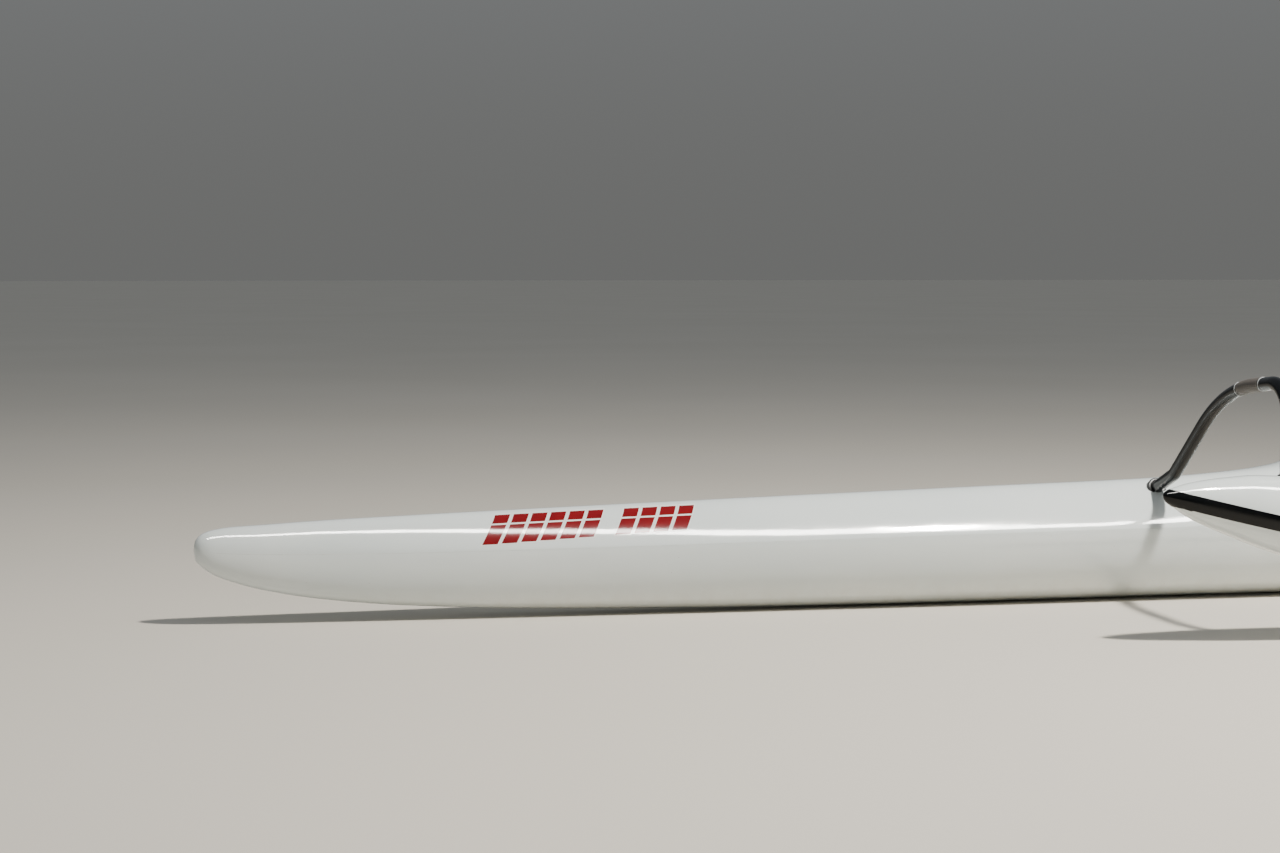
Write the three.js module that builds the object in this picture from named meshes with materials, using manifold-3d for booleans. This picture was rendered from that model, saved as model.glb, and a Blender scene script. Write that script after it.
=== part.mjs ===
// Single-paddler outrigger canoe: a narrow decked hull with an open cockpit, one float carried
// on its port side by two bent tube booms. Millimetres, +Z up, +X towards the bow, +Y to port.
// The origin lies on the floor, under the middle of the whole canoe.
import * as THREE from 'three';
import { mergeVertices } from 'three/addons/utils/BufferGeometryUtils.js';
import Module from 'manifold-3d';

const wasm = await Module();
wasm.setup();

// Driving dimensions
const GAP = 0.3;                     // clearance between pieces that touch
const HULL_LENGTH = 7400;
const HULL_HALF_BEAM = 187;
const FLOAT_LENGTH = 4000;
const FLOAT_HALF_WIDTH = 100;
const FLOAT_SPACING = 858;           // between the centre lines of hull and float
const FLOAT_NOSE_AT = 2446;          // float's nose, measured aft from the bow
const WALL = 6;                      // laminate of the hull and the deck around the well
const WELD = 1e-4;                   // corners closer than this are one

// Fineness: sides of the sections, longest steps between them, sides and steps of the tubes
const BOTTOM_SEGMENTS = 13;
const CROWN_SEGMENTS = 12;
const FLOAT_SEGMENTS = 10;
const LONGEST_STEP = { hull: 240, well: 160, float: 200 };
const TUBE_SIDES = 16;
const TURNED_SIDES = 24;
const BEND_STEPS = { kink: 2, crest: 8, top: 10 };

// Rocker of the float's seam: rise of the nose over the lowest place, and where that is
const FLOAT_ROCKER = { rise: 323, lowAt: 2500 };
const FLOAT_ROUNDNESS = 2.1;         // power of the float's rounded section

// The well is the hollow between the two bulkheads, and the oval opening lies over it
const WELL = { from: 3000, to: 4610 };
const OPENING = { middle: 3940, halfLength: 530, halfWidth: 148, power: 2.8, sides: 56 };
const DECK_CUT = { low: 250, high: 600 };    // heights that the cut through the deck spans
const BULKHEAD_THICKNESS = 10;
const RIM = { outside: 14, inside: 5, above: 7, below: 5 };
const TAPE = { half: 21, thick: 0.9, past: 30 };     // dark tape over the float's seam

// Booms: tube, foot on the hull's side, lean of the straight parts out to the crest, bends and leg
const TUBE_RADIUS = 19;
const TUBE_BORE = TUBE_RADIUS + GAP;
const KINK_RADIUS = 60;
const CREST_RADIUS = 550;
const FOOT_OUT = 70;                 // foot, kink and crest, measured across from the hull's centre line
const KINK_OUT = FOOT_OUT + 121;
const CREST_OUT = FOOT_OUT + 428;
const TUBE_INSIDE_HULL = 110;
const TUBE_INSIDE_FLOAT = 72;
const BOOMS = [
  { name: 'front_boom', at: 2794, entry: 22.9, ramp: 40.7, crest: 5.7, bend: 82 },
  { name: 'rear_boom', at: 4843, entry: 14, ramp: 24, crest: 4, bend: 80 },
];

// Rubber collars where the tubes enter the hull, and thin seals where the legs enter the float
const COLLAR = { radius: 29, lipRadius: 26, shoulder: 7, out: 11, inside: 34 };
const SEAL = { radius: 25, lipRadius: 22, shoulder: 2, height: 4, sunk: 20 };

// Seat: the side view of its top, from its front edge, and the foam pad on it
const SEAT = { from: 3880, to: 4310, lip: 14, padHalfWidth: 118, padThickness: 22, padLean: 3 };
const SEAT_TOP = [
  // back, z
  [0, 128],
  [60, 138],
  [130, 120],
  [280, 118],
  [360, 142],
  [430, 228],
];

// Foot rails inside the hull's sides and the brace between them
const FOOT_RAIL = { from: 3080, to: 3440, z: 120, height: 22, inner: 132, depth: 90 };
const FOOT_BRACE = { at: 3160, thickness: 14, height: 84, z: 128, lean: 20 };
const FITTING_MARGIN = 20;                   // how far the hull's inside is made past a fitting

// Screw vents: their turned form and their places
const VENT = { radius: 17, height: 6, gripRadius: 9, gripHeight: 11, sunk: 2, z: 300, onFloat: 3100 };

// Hull stations. s is the distance aft of the bow; keel, seam and deck are heights; half is half
// the beam; bottom is the power of the rounded section below the seam. Above it, crown is the power
// across and shoulder the power upwards: near 1 it leaves a soft shoulder along the seam.
const HULL_TIP = { bow: 211, stern: 208 };
const HULL_STATIONS = [
  // s, keel, seam, deck, half, bottom, crown, shoulder
  [6, 177, 208, 238, 15, 2.0, 2.0, 2.0],
  [20, 162, 207, 252, 27, 2.0, 2.0, 2.0],
  [45, 143, 205, 262, 37, 2.0, 2.0, 2.0],
  [95, 121, 202, 270, 46, 2.0, 2.0, 2.0],
  [190, 93, 199, 275, 56, 2.0, 2.0, 1.95],
  [320, 68, 196, 282, 63, 2.0, 1.98, 1.8],
  [560, 41, 195, 291, 77, 2.0, 1.92, 1.45],
  [1000, 18, 199, 305, 104, 2.0, 1.82, 1.2],
  [1720, 3, 209, 325, 140, 2.1, 1.75, 1.1],
  [2300, 0, 217, 340, 162, 2.2, 1.75, 1.1],
  [2800, 0, 223, 353, 175, 2.2, 1.8, 1.12],
  [3050, 0, 227, 368, 181, 2.3, 2.0, 1.3],
  [3225, 0, 232, 388, 184, 2.3, 2.4, 1.9],
  [3360, 0, 238, 430, 186, 2.3, 3.0, 2.9],
  [3500, 0, 243, 470, 187, 2.3, 3.6, 3.6],
  [3640, 0, 245, 484, HULL_HALF_BEAM, 2.3, 4.0, 4.0],
  [3900, 0, 245, 482, HULL_HALF_BEAM, 2.3, 4.2, 4.2],
  [4200, 0, 243, 466, 185, 2.3, 4.0, 4.0],
  [4450, 0, 238, 434, 181, 2.3, 3.3, 3.2],
  [4650, 0, 230, 390, 174, 2.3, 2.5, 2.1],
  [4850, 0, 224, 360, 166, 2.2, 2.0, 1.4],
  [5300, 6, 218, 334, 148, 2.1, 1.8, 1.15],
  [6000, 32, 212, 307, 112, 2.0, 1.82, 1.2],
  [6600, 70, 210, 288, 77, 2.0, 1.92, 1.45],
  [7000, 108, 209, 273, 51, 2.0, 2.0, 1.8],
  [7240, 142, 209, 259, 34, 2.0, 2.0, 2.0],
  [7350, 168, 209, 245, 22, 2.0, 2.0, 2.0],
  [7390, 186, 208, 230, 11, 2.0, 2.0, 2.0],
];

// Float stations. s is the distance aft of the float's nose; up and down are the depths of the
// section above and below the seam; half is half the width.
const FLOAT_STATIONS = [
  // s, up, down, half
  [6, 13, 13, 11],
  [25, 26, 22, 26],
  [90, 58, 46, 49],
  [180, 90, 62, 67],
  [275, 116, 77, 81],
  [420, 134, 89, 90],
  [800, 134, 86, 97],
  [1500, 121, 76, FLOAT_HALF_WIDTH],
  [2100, 112, 70, FLOAT_HALF_WIDTH],
  [2500, 106, 65, 97],
  [3000, 95, 60, 88],
  [3400, 78, 53, 73],
  [3700, 57, 42, 54],
  [3880, 36, 28, 34],
  [3960, 20, 16, 19],
  [3990, 9, 8, 9],
];

// Places that follow from the sizes
const OVERALL_WIDTH = HULL_HALF_BEAM + FLOAT_SPACING + FLOAT_HALF_WIDTH + GAP + TAPE.thick;
const HULL_Y = HULL_HALF_BEAM - OVERALL_WIDTH / 2;
const FLOAT_Y = HULL_Y + FLOAT_SPACING;
const BOW_X = HULL_LENGTH / 2;
const xAt = (s) => BOW_X - s;

// Solids
function toSolid(geometry) {
  const bare = geometry.clone();
  bare.deleteAttribute('normal');
  bare.deleteAttribute('uv');
  const merged = mergeVertices(bare, WELD);
  const vertProperties = Float32Array.from(merged.attributes.position.array);
  const triVerts = Uint32Array.from(merged.index.array);
  return new wasm.Manifold(new wasm.Mesh({ numProp: 3, vertProperties, triVerts }));
}

function toGeometry(solid) {
  const { vertProperties, triVerts } = solid.getMesh();
  const geometry = new THREE.BufferGeometry();
  geometry.setAttribute('position', new THREE.BufferAttribute(Float32Array.from(vertProperties), 3));
  geometry.setIndex(new THREE.BufferAttribute(Uint32Array.from(triVerts), 1));
  geometry.computeVertexNormals();
  return geometry;
}

function placed(geometry, x, y, z, rotation = [0, 0, 0]) {
  const turn = new THREE.Euler(...rotation.map(THREE.MathUtils.degToRad));
  const matrix = new THREE.Matrix4().makeRotationFromEuler(turn).setPosition(x, y, z);
  return toSolid(geometry.clone().applyMatrix4(matrix));
}

// A closed solid through rings of equal count; each end closes on a tip or on its ring's middle
function loft(rings, startTip = null, endTip = null) {
  const count = rings[0].length;
  const points = rings.flat();
  const faces = [];
  for (let r = 0; r + 1 < rings.length; r += 1) {
    for (let i = 0; i < count; i += 1) {
      const j = (i + 1) % count;
      const [a, b, c, d] = [r * count + i, r * count + j, (r + 1) * count + i, (r + 1) * count + j];
      faces.push(a, b, c, b, d, c);
    }
  }
  const middle = (ring) => ring.reduce((sum, p) => sum.add(p), new THREE.Vector3()).divideScalar(count);
  const last = (rings.length - 1) * count;
  points.push(startTip ?? middle(rings[0]), endTip ?? middle(rings.at(-1)));
  for (let i = 0; i < count; i += 1) {
    const j = (i + 1) % count;
    faces.push(points.length - 2, j, i);
    faces.push(points.length - 1, last + i, last + j);
  }
  const geometry = new THREE.BufferGeometry().setFromPoints(points);
  geometry.setIndex(faces);
  return toSolid(geometry);
}

// A smooth value between a table's rows, with no overshoot
function between(table, column, s) {
  const rows = table.length;
  let i = table.findIndex((row) => row[0] >= s);
  if (i < 0) i = rows - 1;
  i = Math.max(i, 1);
  const slope = (k) => (table[k + 1][column] - table[k][column]) / (table[k + 1][0] - table[k][0]);
  const tangent = (k) => {
    if (k === 0) return slope(0);
    if (k === rows - 1) return slope(rows - 2);
    const [before, after] = [slope(k - 1), slope(k)];
    return before * after <= 0 ? 0 : (2 * before * after) / (before + after);
  };
  const span = table[i][0] - table[i - 1][0];
  const t = (s - table[i - 1][0]) / span;
  const [p, q] = [table[i - 1][column], table[i][column]];
  const [m, n] = [tangent(i - 1) * span, tangent(i) * span];
  return p + t * m + t * t * (3 * (q - p) - 2 * m - n) + t * t * t * (2 * (p - q) + m + n);
}

// Distances at which sections are made: the table's rows, with steps put in between
function stations(table, from, to, longest) {
  const marks = [from, ...table.map((row) => row[0]).filter((s) => s > from + 1 && s < to - 1), to];
  const list = [];
  for (let i = 0; i + 1 < marks.length; i += 1) {
    const steps = Math.max(1, Math.ceil((marks[i + 1] - marks[i]) / longest));
    for (let k = 0; k < steps; k += 1) {
      list.push(marks[i] + ((marks[i + 1] - marks[i]) * k) / steps);
    }
  }
  list.push(to);
  return list;
}

// Rounded half section as [across, height] pairs, from port (+1) to starboard (-1). With an odd
// count the middle step is level, which gives the keel its flat.
function halfSection(half, height, powerAcross, powerUp, segments) {
  const peak = Math.sin(Math.PI / 2 - (segments % 2) * (Math.PI / (2 * segments))) ** (2 / powerUp);
  const list = [];
  for (let i = 0; i <= segments; i += 1) {
    const angle = (Math.PI * i) / segments;
    const across = Math.sign(Math.cos(angle)) * Math.abs(Math.cos(angle)) ** (2 / powerAcross);
    const rise = Math.min(1, Math.max(0, Math.sin(angle)) ** (2 / powerUp) / peak);
    list.push([i === 0 || i === segments ? Math.sign(across) * half : across * half, rise * height]);
  }
  return list;
}

// Ring of a section: the part below the seam, above it, or the whole
function ring(x, y, seam, low, high, part) {
  const below = low.map(([across, drop]) => new THREE.Vector3(x, y + across, seam - drop));
  const above = high.map(([across, rise]) => new THREE.Vector3(x, y + across, seam + rise));
  if (part === 'below') return below.map((p) => p.setZ(Math.min(p.z, seam - GAP / 2)));
  if (part === 'above') return above.reverse().map((p) => p.setZ(Math.max(p.z, seam + GAP / 2)));
  return [...below, ...above.reverse().slice(1, -1)];
}

function hullRing(s, part, grow) {
  const columns = HULL_STATIONS[0].map((_, c) => between(HULL_STATIONS, c, s));
  const [, keel, seam, deck, half, bottom, crown, shoulder] = columns;
  const low = halfSection(half + grow, seam - keel + grow, bottom, bottom, BOTTOM_SEGMENTS);
  const high = halfSection(half + grow, deck - seam + grow, crown, shoulder, CROWN_SEGMENTS);
  return ring(xAt(s), HULL_Y, seam, low, high, part);
}

// How far a part's tips and seam lie over the seam itself
const SEAM_SHIFT = { below: -GAP / 2, above: GAP / 2, whole: 0 };

function hullTip(s, z, part) {
  return new THREE.Vector3(xAt(s), HULL_Y, z + SEAM_SHIFT[part]);
}

function hullLoft(part, grow = 0) {
  const list = stations(HULL_STATIONS, HULL_STATIONS[0][0], HULL_STATIONS.at(-1)[0], LONGEST_STEP.hull);
  const rings = list.map((s) => hullRing(s, part, grow));
  return loft(rings, hullTip(0, HULL_TIP.bow, part), hullTip(HULL_LENGTH, HULL_TIP.stern, part));
}

function hullSlice(from, to, grow) {
  return loft(stations(HULL_STATIONS, from, to, LONGEST_STEP.well).map((s) => hullRing(s, 'whole', grow)));
}

const floatEnds = [FLOAT_STATIONS[0][0], FLOAT_STATIONS.at(-1)[0]];
const floatList = stations(FLOAT_STATIONS, ...floatEnds, LONGEST_STEP.float);
const floatRise = (s) => FLOAT_ROCKER.rise * (1 - s / FLOAT_ROCKER.lowAt) ** 2;

// The seam's lowest height leaves the float's keel on the floor
const FLOAT_LOW = Math.max(...floatList.map((s) => between(FLOAT_STATIONS, 2, s) - floatRise(s)));
const floatSeam = (s) => FLOAT_LOW + floatRise(s);

function floatRing(s, part, grow) {
  const [up, down, half] = [1, 2, 3].map((c) => between(FLOAT_STATIONS, c, s));
  const round = [FLOAT_ROUNDNESS, FLOAT_ROUNDNESS];
  const low = halfSection(half + grow, down + grow, ...round, FLOAT_SEGMENTS + 1);
  const high = halfSection(half + grow, up + grow, ...round, FLOAT_SEGMENTS);
  return ring(xAt(FLOAT_NOSE_AT + s), FLOAT_Y, floatSeam(s), low, high, part);
}

function floatLoft(part, grow = 0) {
  const tip = (s) => new THREE.Vector3(xAt(FLOAT_NOSE_AT + s), FLOAT_Y, floatSeam(s) + SEAM_SHIFT[part]);
  const ends = [tip(-grow), tip(FLOAT_LENGTH + grow)];
  return loft(floatList.map((s) => floatRing(s, part, grow)), ...ends);
}

// Height of the deck's surface at a distance across from the centre line
function deckHeight(s, across) {
  const [seam, deck, half, crown, shoulder] = [2, 3, 4, 6, 7].map((c) => between(HULL_STATIONS, c, s));
  return seam + (deck - seam) * (1 - Math.abs(across / half) ** crown) ** (1 / shoulder);
}

// Booms
const floatTopAt = (s) => floatSeam(s - FLOAT_NOSE_AT) + between(FLOAT_STATIONS, 1, s - FLOAT_NOSE_AT);

// Centre line of a boom across the canoe: entry, ramp and crest, the tight bend and the leg
function boomPoints(boom) {
  const way = (degrees) => {
    const angle = THREE.MathUtils.degToRad(degrees);
    return new THREE.Vector2(Math.cos(angle), Math.sin(angle));
  };
  const [entry, ramp, crest, down] = [boom.entry, boom.ramp, boom.crest, -90].map(way);
  const foot = new THREE.Vector2(HULL_Y + FOOT_OUT, deckHeight(boom.at, FOOT_OUT));
  const kink = foot.clone().addScaledVector(entry, (KINK_OUT - FOOT_OUT) / entry.x);
  const top = kink.clone().addScaledVector(ramp, (CREST_OUT - KINK_OUT) / ramp.x);
  const corner = top.clone().addScaledVector(crest, (FLOAT_Y - top.x) / crest.x);
  const bend = (at, inward, outward, radius, steps) => {
    const turn = Math.acos(THREE.MathUtils.clamp(inward.dot(outward), -1, 1));
    const tangent = radius * Math.tan(turn / 2);
    const side = Math.sign(inward.x * outward.y - inward.y * outward.x);
    const start = at.clone().addScaledVector(inward, -tangent);
    const centre = start.clone().add(new THREE.Vector2(-inward.y, inward.x).multiplyScalar(side * radius));
    const arm = start.clone().sub(centre);
    return Array.from({ length: steps + 1 }, (_, i) =>
      centre.clone().add(arm.clone().rotateAround(new THREE.Vector2(), (side * turn * i) / steps)));
  };
  return [
    foot.clone().addScaledVector(entry, -TUBE_INSIDE_HULL),
    ...bend(kink, entry, ramp, KINK_RADIUS, BEND_STEPS.kink),
    ...bend(top, ramp, crest, CREST_RADIUS, BEND_STEPS.crest),
    ...bend(corner, crest, down, boom.bend, BEND_STEPS.top),
    new THREE.Vector2(FLOAT_Y, floatTopAt(boom.at) - TUBE_INSIDE_FLOAT),
  ].map((p) => new THREE.Vector3(xAt(boom.at), p.x, p.y));
}

class Polyline extends THREE.Curve {
  constructor(points) {
    super();
    this.points = points;
  }

  getPoint(t, target = new THREE.Vector3()) {
    const place = Math.min(t, 1) * (this.points.length - 1);
    const i = Math.min(Math.floor(place), this.points.length - 2);
    return target.lerpVectors(this.points[i], this.points[i + 1], place - i);
  }

  getPointAt(t, target) {
    return this.getPoint(t, target);
  }
}

function tube(boom, radius) {
  const points = boomPoints(boom);
  const section = new THREE.Shape().absarc(0, 0, radius, 0, 2 * Math.PI);
  return toSolid(new THREE.ExtrudeGeometry(section, {
    steps: points.length - 1,
    extrudePath: new Polyline(points),
    curveSegments: TUBE_SIDES,
    bevelEnabled: false,
  }));
}

// A turned piece: profile of [radius, height] pairs that closes on itself or on the axis
function turned(profile, sides = TURNED_SIDES) {
  return new THREE.LatheGeometry(profile.map(([r, h]) => new THREE.Vector2(r, h)), sides);
}

// Lathe axes are along Y; this lays the height along +Z before any further turn
const UPRIGHT = [90, 0, 0];

// The opening's outline, grown by a margin, as an upright block through the deck
function oval(grow, taller = 0) {
  const { middle, halfLength, halfWidth, power, sides } = OPENING;
  const shape = new THREE.Shape();
  for (let i = 0; i < sides; i += 1) {
    const angle = (2 * Math.PI * i) / sides;
    const [c, s] = [Math.cos(angle), Math.sin(angle)];
    const x = xAt(middle) + Math.sign(c) * (halfLength + grow) * Math.abs(c) ** (2 / power);
    const y = HULL_Y + Math.sign(s) * (halfWidth + grow) * Math.abs(s) ** (2 / power);
    if (i === 0) shape.moveTo(x, y);
    else shape.lineTo(x, y);
  }
  const depth = DECK_CUT.high - DECK_CUT.low + 2 * taller;
  const geometry = new THREE.ExtrudeGeometry(shape, { depth, bevelEnabled: false });
  return placed(geometry, 0, 0, DECK_CUT.low - taller);
}

// A side view of [s, z] pairs, extruded across the hull
function sideView(outline, halfWidth) {
  const shape = new THREE.Shape(outline.map(([s, z]) => new THREE.Vector2(xAt(s), z)));
  const geometry = new THREE.ExtrudeGeometry(shape, { depth: 2 * halfWidth, bevelEnabled: false });
  return placed(geometry, 0, HULL_Y + halfWidth, 0, [90, 0, 0]);
}

const tubes = BOOMS.map((boom) => tube(boom, TUBE_RADIUS));
const tubeBores = BOOMS.map((boom) => tube(boom, TUBE_BORE));

// Thin seals round the legs where they enter the float's top
const floatBody = floatLoft('whole', GAP);
const seals = BOOMS.map((boom) => {
  const { radius, lipRadius, shoulder, height, sunk } = SEAL;
  const shape = turned([[TUBE_BORE, -sunk], [radius, -sunk], [radius, shoulder], [lipRadius, height],
    [TUBE_BORE, height], [TUBE_BORE, -sunk]]);
  return placed(shape, xAt(boom.at), FLOAT_Y, floatTopAt(boom.at), UPRIGHT).subtract(floatBody);
});

// Rubber collars round the tubes where they enter the hull's side
const hullBody = hullLoft('whole', GAP);
const collars = BOOMS.map((boom) => {
  const { radius, lipRadius, shoulder, out, inside } = COLLAR;
  const shape = turned([[TUBE_BORE, -inside], [radius, -inside], [radius, shoulder], [lipRadius, out],
    [TUBE_BORE, out], [TUBE_BORE, -inside]]);
  const z = deckHeight(boom.at, FOOT_OUT);
  return placed(shape, xAt(boom.at), HULL_Y + FOOT_OUT, z, [boom.entry, 0, 0]).subtract(hullBody);
});

// Hull and deck mouldings, hollow between the bulkheads
const wellBody = hullSlice(WELL.from, WELL.to, -WALL);
const hullMoulding = hullLoft('below').subtract(wellBody);
const deckSkin = hullLoft('above').subtract(wellBody).subtract(oval(0))
  .subtract(tubeBores[0]).subtract(tubeBores[1]);
const slab = (from, to) => {
  const block = new THREE.BoxGeometry(to - from, 3 * HULL_HALF_BEAM, 2 * DECK_CUT.high);
  return placed(block, xAt((from + to) / 2), HULL_Y, 0);
};
const foreDeck = deckSkin.intersect(slab(-GAP, WELL.from));
const cockpitDeck = deckSkin.intersect(slab(WELL.from + GAP, WELL.to - GAP));
const aftDeck = deckSkin.intersect(slab(WELL.to, HULL_LENGTH + GAP));

// Edge trim over the cut edge of the opening
const rimBand = hullLoft('whole', RIM.above).subtract(hullSlice(WELL.from, WELL.to, -WALL - RIM.below));
const deckShell = hullBody.subtract(hullSlice(WELL.from, WELL.to, -WALL - GAP));
const rimSlot = deckShell.subtract(oval(-GAP, RIM.outside));
const rim = oval(RIM.outside).subtract(oval(-RIM.inside, RIM.outside)).intersect(rimBand).subtract(rimSlot);

// Bulkheads close the hollow at both ends
const inner = -WALL - GAP;
const frontBulkhead = hullSlice(WELL.from + GAP, WELL.from + GAP + BULKHEAD_THICKNESS, inner);
const rearBulkhead = hullSlice(WELL.to - GAP - BULKHEAD_THICKNESS, WELL.to - GAP, inner);

// Seat pedestal, moulded across the hull's bottom, and its pad
const seatTop = SEAT_TOP.map(([back, z]) => [SEAT.from + back, z]);
const seatBack = SEAT.to + SEAT.lip;
const seatOutline = [[SEAT.from, 0], ...seatTop, [seatBack, seatTop.at(-1)[1]], [seatBack, 0]];
const seatBody = hullSlice(SEAT.from - FITTING_MARGIN, SEAT.to + FITTING_MARGIN, inner);
const seatPedestal = sideView(seatOutline, HULL_HALF_BEAM).intersect(seatBody);
const padUnder = seatTop.slice(1, -1).map(([s, z]) => [s, z + GAP]);
const padOver = seatTop.slice(1, -1).map(([s, z]) => [s - SEAT.padLean, z + SEAT.padThickness]);
const seatPad = sideView([...padUnder, ...padOver.reverse()], SEAT.padHalfWidth);

// Foot rails on the hull's sides and the brace between them
const rails = [1, -1].map((side) => {
  const { from, to, z, height, inner: clear, depth } = FOOT_RAIL;
  const block = new THREE.BoxGeometry(to - from, depth, height);
  return placed(block, xAt((from + to) / 2), HULL_Y + side * (clear + depth / 2), z)
    .intersect(hullSlice(from - FITTING_MARGIN, to + FITTING_MARGIN, inner));
});
const braceWidth = 2 * (FOOT_RAIL.inner - GAP);
const braceBlock = new THREE.BoxGeometry(FOOT_BRACE.thickness, braceWidth, FOOT_BRACE.height);
const brace = placed(braceBlock, xAt(FOOT_BRACE.at), HULL_Y, FOOT_BRACE.z, [0, FOOT_BRACE.lean, 0]);

// Float in two mouldings, with the dark tape over their seam
const floatUpper = floatLoft('above').subtract(tubeBores[0]).subtract(tubeBores[1]);
const floatLower = floatLoft('below');
const tapeBody = floatLoft('whole', GAP + TAPE.thick).subtract(floatBody);
const tapeBand = (() => {
  const list = stations(FLOAT_STATIONS, -TAPE.past, FLOAT_LENGTH + TAPE.past, LONGEST_STEP.float);
  const wide = FLOAT_HALF_WIDTH + TAPE.past;
  return loft(list.map((s) => [[1, -1], [-1, -1], [-1, 1], [1, 1]].map(([across, up]) =>
    new THREE.Vector3(xAt(FLOAT_NOSE_AT + s), FLOAT_Y + across * wide, floatSeam(s) + up * TAPE.half))));
})();
const seamTape = tapeBody.intersect(tapeBand);

// Screw vents: one on each bulkhead, one on the float's top
const vent = () => turned([[0, 0], [VENT.radius, 0], [VENT.radius, VENT.height],
  [VENT.gripRadius, VENT.height], [VENT.gripRadius, VENT.gripHeight], [0, VENT.gripHeight]]);
const ventFace = 2 * GAP + BULKHEAD_THICKNESS;
const frontVent = placed(vent(), xAt(WELL.from + ventFace), HULL_Y, VENT.z, [0, 0, 90]);
const rearVent = placed(vent(), xAt(WELL.to - ventFace), HULL_Y, VENT.z, [0, 0, -90]);
const floatVentAt = FLOAT_NOSE_AT + VENT.onFloat;
const floatVent = placed(vent(), xAt(floatVentAt), FLOAT_Y, floatTopAt(floatVentAt) - VENT.sunk, UPRIGHT)
  .subtract(floatBody);

// Finishes: colour, roughness, metalness
const FINISHES = {
  shell: [0xe6e8ea, 0.22, 0],
  tube: [0x2b3036, 0.35, 0.2],
  rubber: [0x17181a, 0.8, 0],
  tape: [0x16181b, 0.3, 0],
  foam: [0x2a2c2f, 0.9, 0],
  plastic: [0x202225, 0.5, 0],
  alloy: [0x9ea2a6, 0.4, 1],
};

const pieces = [
  ['hull_moulding', hullMoulding, 'shell'],
  ['fore_deck', foreDeck, 'shell'],
  ['cockpit_deck', cockpitDeck, 'shell'],
  ['aft_deck', aftDeck, 'shell'],
  ['cockpit_rim', rim, 'rubber'],
  ['front_bulkhead', frontBulkhead, 'shell'],
  ['rear_bulkhead', rearBulkhead, 'shell'],
  ['front_bulkhead_vent', frontVent, 'plastic'],
  ['rear_bulkhead_vent', rearVent, 'plastic'],
  ['seat_pedestal', seatPedestal, 'shell'],
  ['seat_pad', seatPad, 'foam'],
  ['foot_rail_port', rails[0], 'alloy'],
  ['foot_rail_starboard', rails[1], 'alloy'],
  ['foot_brace', brace, 'plastic'],
  ...BOOMS.flatMap((boom, i) => [
    [boom.name, tubes[i], 'tube'],
    [`${boom.name}_collar`, collars[i], 'rubber'],
    [`${boom.name}_float_seal`, seals[i], 'rubber'],
  ]),
  ['float_upper', floatUpper, 'shell'],
  ['float_lower', floatLower, 'shell'],
  ['float_seam_tape', seamTape, 'tape'],
  ['float_vent', floatVent, 'plastic'],
];

const canoe = new THREE.Group();
for (const [name, solid, finish] of pieces) {
  const [color, roughness, metalness] = FINISHES[finish];
  const material = new THREE.MeshStandardMaterial({ color, roughness, metalness });
  const mesh = new THREE.Mesh(toGeometry(solid), material);
  mesh.name = name;
  canoe.add(mesh);
}

export default canoe;
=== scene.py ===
"""Single-paddler outrigger canoe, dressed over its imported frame.

Metres, +X towards the bow, +Y to port, +Z up, with the floor at zero. The lines of the hull and of
the float are the frame's own stations in millimetres, drawn through smoothly.
"""

import logging
import math
from collections.abc import Callable, Iterator, Sequence
from contextlib import contextmanager
from dataclasses import dataclass
from enum import Enum
from functools import partial

import bmesh
import bpy
import numpy as np
from mathutils import Matrix, Vector


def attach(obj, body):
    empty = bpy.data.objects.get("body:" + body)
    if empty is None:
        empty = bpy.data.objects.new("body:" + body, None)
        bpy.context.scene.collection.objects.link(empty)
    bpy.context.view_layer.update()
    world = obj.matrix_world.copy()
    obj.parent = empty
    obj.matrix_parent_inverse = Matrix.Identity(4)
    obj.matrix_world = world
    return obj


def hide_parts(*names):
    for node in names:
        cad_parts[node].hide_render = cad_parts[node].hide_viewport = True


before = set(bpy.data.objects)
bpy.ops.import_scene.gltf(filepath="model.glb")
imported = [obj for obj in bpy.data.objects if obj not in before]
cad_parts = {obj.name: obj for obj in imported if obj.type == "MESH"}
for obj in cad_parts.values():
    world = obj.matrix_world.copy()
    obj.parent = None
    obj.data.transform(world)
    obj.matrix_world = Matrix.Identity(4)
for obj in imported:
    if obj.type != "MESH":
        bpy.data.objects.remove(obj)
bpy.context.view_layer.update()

log = logging.getLogger("canoe")
MM = 0.001
BODY = "root"

# Places on the frame: x of the bow, centre lines of hull and float, x of the float's nose
BOW_X = 3.700
HULL_Y = -0.3861
FLOAT_Y = 0.4719
FLOAT_NOSE_X = BOW_X - 2.446

Piece = bpy.types.Object
Socket = bpy.types.NodeSocket
Array = np.ndarray
Outline = Sequence[tuple[float, float]]
Triple = Sequence[float]
Place = Callable[[Array, Array], Array]
Adder = Callable[..., Socket]
Inputs = dict[str, Socket]


class Slot(Enum):
    """Material slots of the record."""

    GELCOAT = "gelcoat"
    BOOM_PAINT = "boom_paint"
    EDGE_RUBBER = "edge_rubber"
    BLACK_PLASTIC = "black_plastic"
    SEAT_FOAM = "seat_foam"
    RAIL_ALLOY = "rail_alloy"
    SEAM_TAPE = "seam_tape"


# Working with meshes


def fresh() -> None:
    """Leaves object mode with nothing selected."""
    if bpy.context.object is not None and bpy.context.object.mode != "OBJECT":
        bpy.ops.object.mode_set(mode="OBJECT")
    bpy.ops.object.select_all(action="DESELECT")


def only(obj: Piece) -> None:
    """Makes an object the one selected and active, in object mode.

    Args:
        obj: the object.
    """
    fresh()
    obj.select_set(True)
    bpy.context.view_layer.objects.active = obj


def named(name: str) -> Piece:
    """The active object, after it and its data are named."""
    bpy.context.object.name = bpy.context.object.data.name = name
    return bpy.context.object


def started(name: str, add: Callable[..., object], **settings: object) -> Piece:
    """Adds a new object with nothing else selected.

    Args:
        name: its name.
        add: the operator that adds it.
        settings: the operator's settings.

    Returns:
        The new object.
    """
    fresh()
    add(**settings)
    return named(name)


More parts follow.
